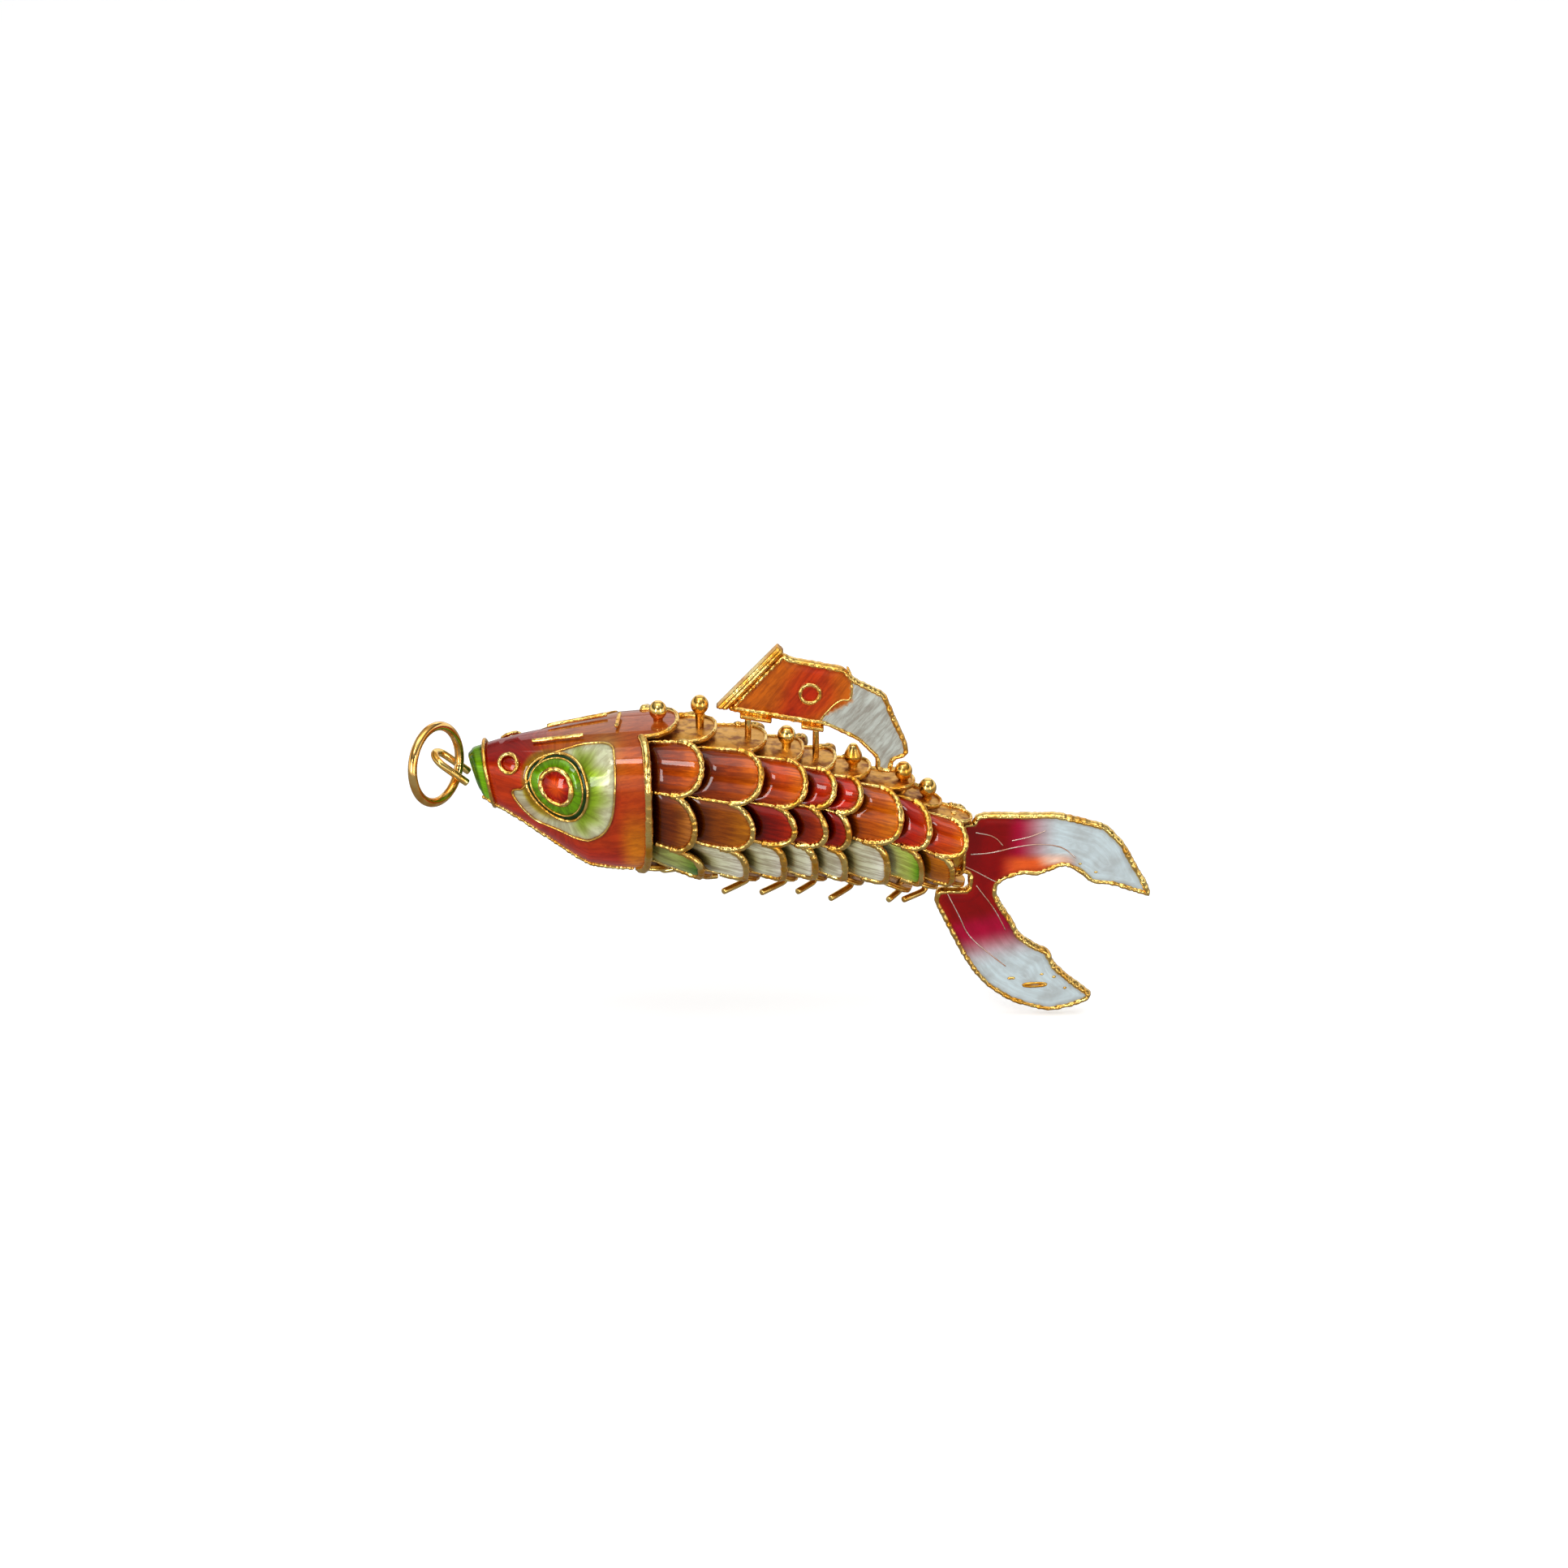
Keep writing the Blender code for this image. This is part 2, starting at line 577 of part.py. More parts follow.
def belly_near(profiles, x, reach):
    """Lowest belly strip between x - reach and x + reach."""
    lowest = 0
    for number, profile in enumerate(profiles):
        rear = SLEEVES[number]["pin"] if number < len(SLEEVES) else TAIL_PIN
        front = HEAD_HOLLOW_X if number == 0 else SLEEVES[number - 1]["front"]
        if front < x + reach and rear + BELLY_TAB > x - reach:
            for place in (max(front, x - reach), min(rear + BELLY_TAB, x + reach)):
                lowest = min(lowest, profile.at(place)[1])
    return lowest


def bent_end(x, low, bend):
    """Path of a pin's end: a quarter bend under the belly and a straight run."""
    turn, length = math.radians(bend[0]), bend[1]
    path = []
    for t in np.linspace(0, math.pi / 2, 5):
        out = BEND_RADIUS * (1 - math.cos(t))
        path.append((out, low + BEND_RADIUS * (1 - math.sin(t))))
    path.append((length, low))
    return [(x + out * math.cos(turn), out * math.sin(turn), z) for out, z in path]


def pin(name, x, top, low, bend, ball, origin):
    """Hinge pin from its top, with or without a ball, to its bent end."""
    path, radii = [], []
    if ball:
        for degrees in (12, 35, 62, 90, 118, 145, 158):
            t = math.radians(degrees)
            path.append((x, 0, top + BALL_RADIUS * math.cos(t)))
            radii.append(max(BALL_RADIUS * math.sin(t), PIN_RADIUS))
    else:
        path.append((x, 0, top))
        radii.append(PIN_RADIUS)
    tail = bent_end(x, low, bend)
    path += tail
    radii += [PIN_RADIUS] * len(tail)
    points, faces = swept(path, radii)
    return make_object(name, points, faces, origin, gilt())


def pins(profiles, bodies):
    """Ball pins, the two fin posts and the tail rivet."""
    for number, spec in enumerate(SLEEVES):
        x = spec["pin"]
        reach = PIN_BENDS[number][1] + PIN_RADIUS
        low = belly_near(profiles, x, reach) - BELLY_DROP - PIN_RADIUS
        stand = BALL_STANDS[number]
        if stand is None:
            word = "front" if number == POST_AT[0] else "rear"
            top = fin_base(x) - 2 * SEAT_GAP - FLANGE_THICK - 0.05
            pin(f"fin_post_{word}", x, top, low, PIN_BENDS[number], False, bodies["fin"])
        else:
            top = profiles[number].at(x)[0] + stand * BALL_RADIUS
            pin(f"pin_{number + 1}", x, top, low, PIN_BENDS[number], True, bodies[number])
    last = profiles[-1]
    back, belly, _ = last.at(TAIL_PIN)
    path = [(TAIL_PIN, 0, back + 0.12), (TAIL_PIN, 0, belly + 0.05)]
    points, faces = swept(path, [PIN_RADIUS] * 2)
    make_object("tail_rivet", points, faces, bodies[len(SLEEVES)], gilt())


# Dorsal fin

def fin_base(x):
    """Height of the fin's lower edge above the back, between its foot and its last flange."""
    low = FIN_EDGE[-1]
    return FIN_FOOT[1] + (low[1] - FIN_FOOT[1]) * (x - FIN_FOOT[0]) / (low[0] - FIN_FOOT[0])


def dorsal_fin(origin):
    """Fin plate, its thick leading band, the two flanges and the ring on each face."""
    foot, peak = np.array(FIN_FOOT), np.array(FIN_PEAK)
    along = (peak - foot) / np.linalg.norm(peak - foot)
    across = np.array((along[1], -along[0]))
    heel = foot + np.array(BAND_HEEL)
    band = [foot, peak, peak + across * BAND_WIDTH, heel]
    points, faces = extruded([tuple(p) for p in band], BAND_HALF_THICK)
    make_object("fin_leading_band", points, faces, origin, gilt())
    inner_top = peak + across * (BAND_WIDTH + SEAT_GAP) - along * 0.1
    inner_low = heel + across * SEAT_GAP
    outline = [tuple(inner_low), tuple(inner_top), *FIN_EDGE]
    points, faces = extruded(outline, FIN_HALF_THICK)
    make_object("dorsal_fin", points, faces, origin, enamel("fin", FIN_COLOUR))
    for word, (start, stop) in zip(("front", "rear"), FLANGE_SPANS):
        drop = SEAT_GAP, SEAT_GAP + FLANGE_THICK
        outline = [(start, fin_base(start) - drop[0]), (stop, fin_base(stop) - drop[0]),
                   (stop, fin_base(stop) - drop[1]), (start, fin_base(start) - drop[1])]
        points, faces = extruded(outline, FLANGE_HALF)
        make_object(f"fin_flange_{word}", points, faces, origin, gilt())
    for word, side in (("left", -1), ("right", 1)):
        y = side * (FIN_HALF_THICK + SEAT_GAP + ORNAMENT_WIRE)
        path = [(ORNAMENT[0] + ORNAMENT_RADIUS * math.cos(t), y,
                 ORNAMENT[1] + ORNAMENT_RADIUS * math.sin(t))
                for t in np.linspace(0, 2 * math.pi, 16, endpoint=False)]
        points, faces = swept(path, [ORNAMENT_WIRE] * len(path), 6, True)
        make_object(f"fin_ring_{word}", points, faces, origin, gilt())


# Tail fin

def tail_fin(profile, origin, cutter):
    """Forked tail plate with the barrel that turns on the tail rivet inside the last sleeve."""
    back, belly, _ = profile.at(TAIL_PIN)
    top, low = back - WALL - TAIL_GAP, belly + WALL + TAIL_GAP
    rear_tab = SLEEVES[-1]["tab"] + 0.35
    belly_tab = TAIL_PIN + BELLY_TAB + TAIL_GAP
    under = min(profile.at(belly_tab)[1], profile.at(TAIL_EDGE[-1][0])[1]) - TAIL_GAP
    front = TAIL_EDGE[-1][0] + 0.25
    outline = [*TAIL_EDGE, (front, under), (belly_tab, under), (belly_tab, low),
               (TAIL_PIN, low), (TAIL_PIN, top), (rear_tab, top - 0.1)]
    points, faces = extruded(outline, TAIL_HALF_THICK)
    plate = make_object("tail_fin", points, faces, origin, enamel("tail", TAIL_COLOUR))
    ring = [(TAIL_PIN + BARREL_RADIUS * math.cos(t), BARREL_RADIUS * math.sin(t))
            for t in np.linspace(0, 2 * math.pi, BARREL_SIDES, endpoint=False)]
    count = len(ring)
    points = [(x, y, z) for z in (low + BARREL_INSET, top - BARREL_INSET) for x, y in ring]
    faces = loop_faces(2, count) + [tuple(range(count))[::-1], tuple(range(count, 2 * count))]
    barrel = make_object("tail_barrel", points, faces, origin, gilt())
    barrel.hide_render = True
    barrel.display_type = "WIRE"
    union = plate.modifiers.new("barrel", "BOOLEAN")
    union.operation = "UNION"
    union.solver = "EXACT"
    union.object = barrel
    cut(plate, cutter)
    return plate


def main():
    for obj in list(bpy.data.objects):
        bpy.data.objects.remove(obj)
    profiles = sleeve_profiles()
    axes = [spec["pin"] for spec in SLEEVES] + [TAIL_PIN]
    bodies = {0: np.zeros(3), "fin": np.array((axes[POST_AT[0]], 0, 0))}
    for number, x in enumerate(axes):
        bodies[number + 1] = np.array((x, 0, 0))
    shells = [head_shell(profiles[0], bodies[0])]
    shells += [sleeve(n, profiles, bodies[n + 1]) for n in range(len(SLEEVES))]
    cutters = [cutter_along_z(f"pin_hole_{n + 1}", x, PIN_RADIUS + PIN_CLEARANCE, HOLE_LOW,
                              HOLE_HIGH)
               for n, x in enumerate(axes)]
    for number, cutter in enumerate(cutters):
        cut(shells[number], cutter)
        if number + 1 < len(shells):
            cut(shells[number + 1], cutter)
    tail_fin(profiles[-1], bodies[len(SLEEVES) + 1], cutters[-1])
    head_trim(profiles[0], bodies[0])
    nose_eye(bodies[0])
    jump_ring()
    pins(profiles, bodies)
    dorsal_fin(bodies["fin"])


main()
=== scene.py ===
"""Looks of the articulated enamel koi pendant: gilt wires, engraved foil and glassy enamel.

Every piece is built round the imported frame. Surfaces are measured from the frame's own solids,
and the sizes below are in millimetres; MM turns them into metres.
"""

import json
import logging
import math
import random
from dataclasses import dataclass, field
from enum import Enum
from typing import Any, Callable, Iterable, Sequence

import bmesh
import bpy
import numpy as np
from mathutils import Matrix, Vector
from mathutils.bvhtree import BVHTree
from mathutils.geometry import delaunay_2d_cdt

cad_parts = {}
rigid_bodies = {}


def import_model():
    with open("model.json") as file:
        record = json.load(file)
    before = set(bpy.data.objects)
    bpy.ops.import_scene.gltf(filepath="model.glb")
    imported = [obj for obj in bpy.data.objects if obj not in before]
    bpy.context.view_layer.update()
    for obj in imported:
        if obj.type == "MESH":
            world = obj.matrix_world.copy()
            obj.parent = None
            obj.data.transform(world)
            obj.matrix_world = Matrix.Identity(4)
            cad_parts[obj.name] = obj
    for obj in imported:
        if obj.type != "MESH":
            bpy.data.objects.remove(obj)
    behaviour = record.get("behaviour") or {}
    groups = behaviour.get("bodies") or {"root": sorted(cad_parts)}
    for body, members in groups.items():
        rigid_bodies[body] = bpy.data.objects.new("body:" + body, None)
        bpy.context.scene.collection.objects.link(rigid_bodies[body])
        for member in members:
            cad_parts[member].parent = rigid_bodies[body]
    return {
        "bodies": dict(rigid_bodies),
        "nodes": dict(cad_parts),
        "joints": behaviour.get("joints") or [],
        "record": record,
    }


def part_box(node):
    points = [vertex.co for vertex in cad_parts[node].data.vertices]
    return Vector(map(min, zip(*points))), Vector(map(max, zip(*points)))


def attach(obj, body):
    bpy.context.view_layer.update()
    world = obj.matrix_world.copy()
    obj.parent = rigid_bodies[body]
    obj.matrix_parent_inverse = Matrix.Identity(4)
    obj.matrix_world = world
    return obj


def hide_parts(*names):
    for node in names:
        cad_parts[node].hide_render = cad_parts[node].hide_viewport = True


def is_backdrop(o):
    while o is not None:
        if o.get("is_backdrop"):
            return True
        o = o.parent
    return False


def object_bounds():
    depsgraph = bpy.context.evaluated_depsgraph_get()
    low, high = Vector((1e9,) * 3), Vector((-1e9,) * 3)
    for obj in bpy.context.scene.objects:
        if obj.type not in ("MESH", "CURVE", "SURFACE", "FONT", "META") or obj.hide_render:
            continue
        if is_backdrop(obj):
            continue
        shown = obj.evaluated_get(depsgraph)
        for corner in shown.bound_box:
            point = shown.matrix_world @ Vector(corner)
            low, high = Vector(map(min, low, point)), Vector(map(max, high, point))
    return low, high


MM = 0.001
TURN = 2 * math.pi
TINY = 1e-12
LOG = logging.getLogger("koi")
Colour = tuple[float, float, float]


class Side(Enum):
    """Side of the fish, with the sign of its y."""

    LEFT = -1
    RIGHT = 1

    @property
    def word(self) -> str:
        """Word for the side in a node's name."""
        return self.name.lower()


def srgb(red: int, green: int, blue: int) -> Colour:
    """Linear colour of a screen colour."""
    def linear(value: int) -> float:
        """Linear share of one channel."""
        share = value / 255
        return share / 12.92 if share <= 0.04045 else ((share + 0.055) / 1.055) ** 2.4
    return linear(red), linear(green), linear(blue)


def smooth(low: float, high: float, value: Any) -> Any:
    """Smooth step of a number or an array between low and high."""
    share = np.clip((np.asarray(value, float) - low) / (high - low), 0, 1)
    return share * share * (3 - 2 * share)


def turned(count: int) -> np.ndarray:
    """Angles spread evenly round a circle."""
    return np.linspace(0, TURN, count, endpoint=False)


def shares_across(steps: int) -> np.ndarray:
    """Even shares from -1 up to 1, without the last one."""
    return 2 * np.arange(steps) / steps - 1


def folded(angle: Any) -> Any:
    """Angle from the back, whichever side it is on."""
    return np.abs((np.asarray(angle) + math.pi) % TURN - math.pi)


def box_of(node: str) -> tuple[np.ndarray, np.ndarray]:
    """Lowest and highest corner of a node in millimetres."""
    low, high = (np.array(corner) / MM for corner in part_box(node))
    return low, high


def read_round(angle: np.ndarray, angles: np.ndarray, values: np.ndarray) -> np.ndarray:
    """Value at any angle, between values known at some angles of a circle."""
    order = np.argsort(angles % TURN)
    return np.interp(angle, (angles % TURN)[order], values[order], period=TURN)


def laid_over(base: np.ndarray | Colour, colour: np.ndarray | Colour,
              share: np.ndarray) -> np.ndarray:
    """Colours with another colour laid over them by a share for each point."""
    return np.asarray(base) * (1 - share[..., None]) + np.asarray(colour) * share[..., None]


def depth_inside(outline: np.ndarray, x: np.ndarray, y: np.ndarray) -> np.ndarray:
    """Signed depth of places inside a closed flat outline.

    Args:
        outline: the outline's points.
        x: first coordinate of each place.
        y: second coordinate of each place.

    Returns:
        The distance from the outline, below zero outside.
    """
    inside = np.zeros(x.shape, bool)
    nearest = np.full(x.shape, np.inf)
    for (ax, ay), (bx, by) in zip(np.roll(outline, 1, 0), outline):
        if ay != by:
            crossing = (ay > y) != (by > y)
            inside ^= crossing & (x < (bx - ax) * (y - ay) / (by - ay) + ax)
        span = (bx - ax) ** 2 + (by - ay) ** 2 + TINY
        share = np.clip(((x - ax) * (bx - ax) + (y - ay) * (by - ay)) / span, 0, 1)
        nearest = np.minimum(nearest, np.hypot(x - ax - share * (bx - ax),
                                               y - ay - share * (by - ay)))
    return np.where(inside, nearest, -nearest)


# Shader graph


class Graph:
    """Node tree of a material or of the surroundings, built from expressions."""

    def __init__(self, owner: bpy.types.Material | bpy.types.World) -> None:
        """Start with an empty tree.

        Args:
            owner: what the nodes belong to.
        """
        self.owner = owner
        owner.use_nodes = True
        self.tree = owner.node_tree
        self.tree.nodes.clear()

    def node(self, kind: str, settings: dict[str, Any] | None = None,
             inputs: dict[str | int, Any] | None = None) -> bpy.types.Node:
        """Make one node.

        Args:
            kind: the node's type.
            settings: properties, set before the inputs; "stops" fills a colour ramp.
            inputs: values or sockets, by input name or number.

        Returns:
            The new node.
        """
        made = self.tree.nodes.new(kind)
        for key, value in (settings or {}).items():
            if key == "stops":
                self._fill_ramp(made.color_ramp, value)
            else:
                setattr(made, key, value)
        for key, value in (inputs or {}).items():
            if isinstance(value, Sock):
                self.tree.links.new(value.socket, made.inputs[key])
            else:
                made.inputs[key].default_value = value
        return made

    @staticmethod
    def _fill_ramp(ramp: bpy.types.ColorRamp, stops: Sequence[tuple[float, Colour]]) -> None:
        """Set a colour ramp's stops.

        Args:
            ramp: the ramp.
            stops: (place, colour) pairs.
        """
        while len(ramp.elements) < len(stops):
            ramp.elements.new(0.5)
        for element, (place, colour) in zip(ramp.elements, stops):
            element.position = place
            element.color = (*colour, 1)

    def value(self, kind: str, output: str | int = 0, settings: dict[str, Any] | None = None,
              inputs: dict[str | int, Any] | None = None) -> "Sock":
        """Make one node and wrap one of its outputs.

        Args:
            kind: the node's type.
            output: the output's name or number.
            settings: properties of the node.
            inputs: values or sockets of its inputs.

        Returns:
            The wrapped output.
        """
        return Sock(self, self.node(kind, settings, inputs).outputs[output])

    def attribute(self, name: str, output: str = "Fac") -> "Sock":
        """Painted attribute of the mesh."""
        return self.value("ShaderNodeAttribute", output, {"attribute_name": name})

    def place(self) -> "Sock":
        """Place on the object in millimetres."""
        here = self.value("ShaderNodeTexCoord", "Object")
        return self.vector("SCALE", here, Scale=1 / MM)

    def vector(self, operation: str, first: Any, second: Any = None, **inputs: Any) -> "Sock":
        """Vector Math node.

        Args:
            operation: what it does.
            first: first vector.
            second: second vector, where there is one.
            inputs: other inputs by name.

        Returns:
            The resulting vector.
        """
        given: dict[str | int, Any] = {0: first}
        if second is not None:
            given[1] = second
        given.update(inputs)
        return self.value("ShaderNodeVectorMath", 0, {"operation": operation}, given)

    def noise(self, where: "Sock", scale: float, detail: float = 3, rough: float = 0.5) -> "Sock":
        """Noise between 0 and 1 at a place in millimetres."""
        return self.value("ShaderNodeTexNoise", "Fac", None,
                          {"Vector": where, "Scale": scale, "Detail": detail, "Roughness": rough})

    def mix(self, share: Any, first: Any, second: Any, blend: str = "MIX") -> "Sock":
        """Mix of two colours.

        Args:
            share: how much of the second colour.
            first: first colour or socket.
            second: second colour or socket.
            blend: blend type.

        Returns:
            The mixed colour.
        """
        def filled(colour: Any) -> Any:
            """Colour with its fourth channel."""
            return colour if isinstance(colour, Sock) else (*colour, 1)
        return self.value("ShaderNodeMix", 2, {"data_type": "RGBA", "blend_type": blend},
                          {0: share, 6: filled(first), 7: filled(second)})

    def shaded(self, colour: "Sock", shade: Colour) -> "Sock":
        """Colour seen through a shade."""
        return self.mix(1.0, colour, shade, "MULTIPLY")

    def remap(self, value: "Sock", low: float, high: float, to_low: float = 0,
              to_high: float = 1) -> "Sock":
        """Smooth map of a value from one span to another."""
        return self.value("ShaderNodeMapRange", 0, {"interpolation_type": "SMOOTHSTEP"},
                          {0: value, 1: low, 2: high, 3: to_low, 4: to_high})

    def bump(self, height: "Sock", strength: float, distance: float) -> "Sock":
        """Normal of a height field; distance is in millimetres."""
        return self.value("ShaderNodeBump", 0, None,
                          {"Height": height, "Strength": strength, "Distance": distance * MM})

    def finish(self, **inputs: Any) -> bpy.types.Material:
        """Close the graph with a Principled shader.

        Args:
            inputs: the shader's inputs, with _ for spaces.

        Returns:
            The finished material.
        """
        named = {key.replace("_", " "): value for key, value in inputs.items()}
        shader = self.value("ShaderNodeBsdfPrincipled", 0, None, named)
        self.node("ShaderNodeOutputMaterial", None, {"Surface": shader})
        return self.owner


@dataclass(frozen=True)
class Sock:
    """A node's output that can stand in an expression."""

    graph: Graph
    socket: bpy.types.NodeSocket

    def _math(self, operation: str, first: Any, second: Any) -> "Sock":
        """Math node on two values."""
        return self.graph.value("ShaderNodeMath", 0, {"operation": operation},
                                {0: first, 1: second})

    def __add__(self, other: Any) -> "Sock":
        """Sum."""
        return self._math("ADD", self, other)

    def __radd__(self, other: Any) -> "Sock":
        """Sum, reflected."""
        return self._math("ADD", other, self)

    def __sub__(self, other: Any) -> "Sock":
        """Difference."""
        return self._math("SUBTRACT", self, other)

    def __rsub__(self, other: Any) -> "Sock":
        """Difference, reflected."""
        return self._math("SUBTRACT", other, self)

    def __mul__(self, other: Any) -> "Sock":
        """Product."""
        return self._math("MULTIPLY", self, other)

    def __rmul__(self, other: Any) -> "Sock":
        """Product, reflected."""
        return self._math("MULTIPLY", other, self)


# Finishes


@dataclass(frozen=True)
class Gilt:
    """Plated gold, from polished wire to rough cast rims."""

    name: str
    pale: Colour = srgb(255, 222, 134)
    deep: Colour = srgb(226, 156, 46)
    grime: Colour = srgb(96, 54, 10)
    roughness: float = 0.16
    grain: float = 0.5
    grain_scale: float = 2.2
    wear: float = 0.5

    def build(self) -> bpy.types.Material:
        """Material of this gold.

        Returns:
            The material.
        """
        graph = Graph(bpy.data.materials.new(self.name))
        here = graph.place()
        broad = graph.noise(here, 0.55, 2)
        fine = graph.noise(here, self.grain_scale, 4, 0.62)
        pits = graph.value("ShaderNodeTexVoronoi", "Distance", {"feature": "F1"},
                           {"Vector": here, "Scale": self.grain_scale * 1.2})
        tone = graph.mix(graph.remap(broad + fine * 0.5, 0.5, 1.0), self.pale, self.deep)
        hollow = graph.remap(fine, 0.44, 0.26) * self.wear
        tone = graph.mix(hollow, tone, self.grime)
        rough = self.roughness + graph.remap(broad, 0.35, 0.7) * 0.14 + hollow * 0.2
        height = fine + graph.remap(pits, 0.0, 0.6) * 0.6
        normal = graph.bump(height, self.grain, 0.12)
        return graph.finish(Base_Color=tone, Metallic=1.0, Roughness=rough, Normal=normal)


@dataclass(frozen=True)
class Enamel:
    """Clear coloured glass fired over engraved foil; the mesh carries its tint with painted
    highlights, its painted shade and cell place.
    """

    name: str
    engraving: float = 0.55
    foil: float = 0.42
    lines: float = 5.0
    body: tuple[float, float, float] = (1.2, 1.28, 1.85)
    contrast: float = 0.62
    cut_shade: Colour = (0.35, 0.25, 0.20)
    cloud_shade: Colour = (0.45, 0.32, 0.26)
    # Colour of the painted shade that the depth mask lays on the glass.
    rim_shade: Colour = (0.16, 0.07, 0.04)
    bare_pale: Colour = srgb(224, 166, 70)
    bare_deep: Colour = srgb(150, 88, 18)

    def build(self) -> bpy.types.Material:
        """Material of this enamel.

        Returns:
            The material.
        """
        graph = Graph(bpy.data.materials.new(self.name))
        here = graph.place()
        tint = graph.vector("POWER", graph.attribute("tint", "Color"), self.body)
        metal = graph.attribute("metal")
        flow = graph.attribute("flow", "Vector")
        cloud = graph.noise(here, 0.7, 3)
        wobble = graph.noise(here, 1.1, 2)
        stretched = graph.vector("MULTIPLY", flow, (self.lines, 0.35, 1.0))
        cuts = graph.noise(stretched, 1.0, 4, 0.7)
        lines = graph.remap(cuts, 0.40, 0.60)
        depth = graph.attribute("depth")
        glow = graph.mix(lines * self.contrast, tint, graph.shaded(tint, self.cut_shade))
        glow = graph.mix(graph.remap(cloud, 0.35, 0.75) * 0.35, glow,
                         graph.shaded(glow, self.cloud_shade))
        # Painted shade: the depth mask darkens the glass under the sleeve before it and along the
        # wires, together with the deeper glass there.
        glow = graph.mix(depth * 0.85, glow, graph.shaded(tint, self.rim_shade))
        gold = graph.mix(graph.remap(wobble, 0.4, 0.7), self.bare_pale, self.bare_deep)
        colour = graph.mix(metal, glow, gold)
        metallic = metal * (1 - self.foil) + self.foil
        rough = 0.30 + lines * 0.12 + metal * 0.04
        height = cuts * (1 - metal) * self.engraving + graph.noise(here, 2.4, 4, 0.6) * metal
        normal = graph.bump(height, 0.5, 0.10)
        return graph.finish(Base_Color=colour, Metallic=metallic, Roughness=rough, Normal=normal,
                            Coat_Weight=0.85 - metal * 0.75, Coat_Roughness=0.035, Coat_IOR=1.45,
                            Specular_IOR_Level=0.0)


RIM_GILT = Gilt("gilt_rims", roughness=0.17, grain=0.34, grain_scale=1.8, wear=0.42)
WIRE_GILT = Gilt("gilt_wire", roughness=0.12, grain=0.10, grain_scale=1.2, wear=0.15)
RING_GILT = Gilt("gilt_ring", pale=srgb(255, 216, 138), deep=srgb(236, 164, 62),
                 roughness=0.08, grain=0.03, grain_scale=1.0, wear=0.05)
SILVERED = Gilt("silvered_lines", pale=srgb(236, 222, 214), deep=srgb(206, 150, 120),
                roughness=0.25, grain=0.2, grain_scale=2.0, wear=0.3)
SCALE_GLASS = Enamel("scale_glass")
HEAD_GLASS = Enamel("head_glass", engraving=0.35, foil=0.36, lines=3.0, body=(1.2, 1.25, 1.9),
                    contrast=0.42)
EYE_GLASS = Enamel("eye_glass", engraving=0.6, foil=0.4, lines=3.0, body=(1.0, 1.1, 1.4))
FIN_GLASS = Enamel("fin_glass", engraving=0.6, foil=0.36, lines=4.0, body=(1.15, 1.25, 1.6),
                   contrast=0.5)
TAIL_GLASS = Enamel("tail_glass", engraving=0.2, foil=0.16, lines=2.2, body=(1.3, 1.35, 1.5),
                    contrast=0.22)


# Mesh helpers


def mesh_object(name: str, points: np.ndarray, faces: Iterable[Sequence[int]],
                material: bpy.types.Material) -> bpy.types.Object:
    """Smooth mesh object from points in millimetres.

    Args:
        name: object name.
        points: points, one row each.
        faces: vertex numbers of each face.
        material: its finish.

    Returns:
        The object, linked to the scene.
    """
    mesh = bpy.data.meshes.new(name)
    mesh.from_pydata((np.asarray(points, float) * MM).tolist(), [], [tuple(f) for f in faces])
    work = bmesh.new()
    work.from_mesh(mesh)
    bmesh.ops.recalc_face_normals(work, faces=work.faces)
    work.to_mesh(mesh)
    work.free()
    mesh.shade_smooth()
    mesh.materials.append(material)
    made = bpy.data.objects.new(name, mesh)
    bpy.context.scene.collection.objects.link(made)
    return made


def paint(made: bpy.types.Object, name: str, values: np.ndarray) -> None:
    """Write a painted attribute of one, three or four channels on the points.

    Args:
        made: the object.
        name: attribute name.
        values: one row for each point.
    """
    values = np.asarray(values, np.float32)
    if values.ndim == 1:
        layer = made.data.attributes.new(name, "FLOAT", "POINT")
        layer.data.foreach_set("value", values)
    elif name == "tint":
        layer = made.data.attributes.new(name, "FLOAT_COLOR", "POINT")
        full = np.ones((len(values), 4), np.float32)
        full[:, :3] = values
        layer.data.foreach_set("color", full.ravel())
    else:
        layer = made.data.attributes.new(name, "FLOAT_VECTOR", "POINT")
        layer.data.foreach_set("vector", values.ravel())


def ring_faces(rings: int, count: int, closed: bool = False,
               capped: bool = False) -> list[tuple[int, ...]]:
    """Quads between rings of count points each.

    Args:
        rings: how many rings.
        count: points in a ring.
        closed: also join the last ring to the first.
        capped: also close the first ring and the last ring with a flat face.

    Returns:
        The faces.
    """
    faces = []
    for ring in range(rings if closed else rings - 1):
        low, high = ring * count, ((ring + 1) % rings) * count
        faces += [(low + i, low + (i + 1) % count, high + (i + 1) % count, high + i)
                  for i in range(count)]
    if capped:
        faces += [tuple(range(count))[::-1], tuple(range((rings - 1) * count, rings * count))]
    return faces


def noise_line(count: int, knots: int, seed: int) -> np.ndarray:
    """Smooth closed run of random values between -1 and 1.

    Args:
        count: how many values.
        knots: how many random knots they pass through.
        seed: seed of the draw.

    Returns:
        The values.
    """
    draw = random.Random(seed)
    values = [draw.uniform(-1, 1) for _ in range(max(knots, 2))]
    places = np.linspace(0, len(values), count, endpoint=False)
    return np.interp(places, range(len(values) + 1), values + values[:1])


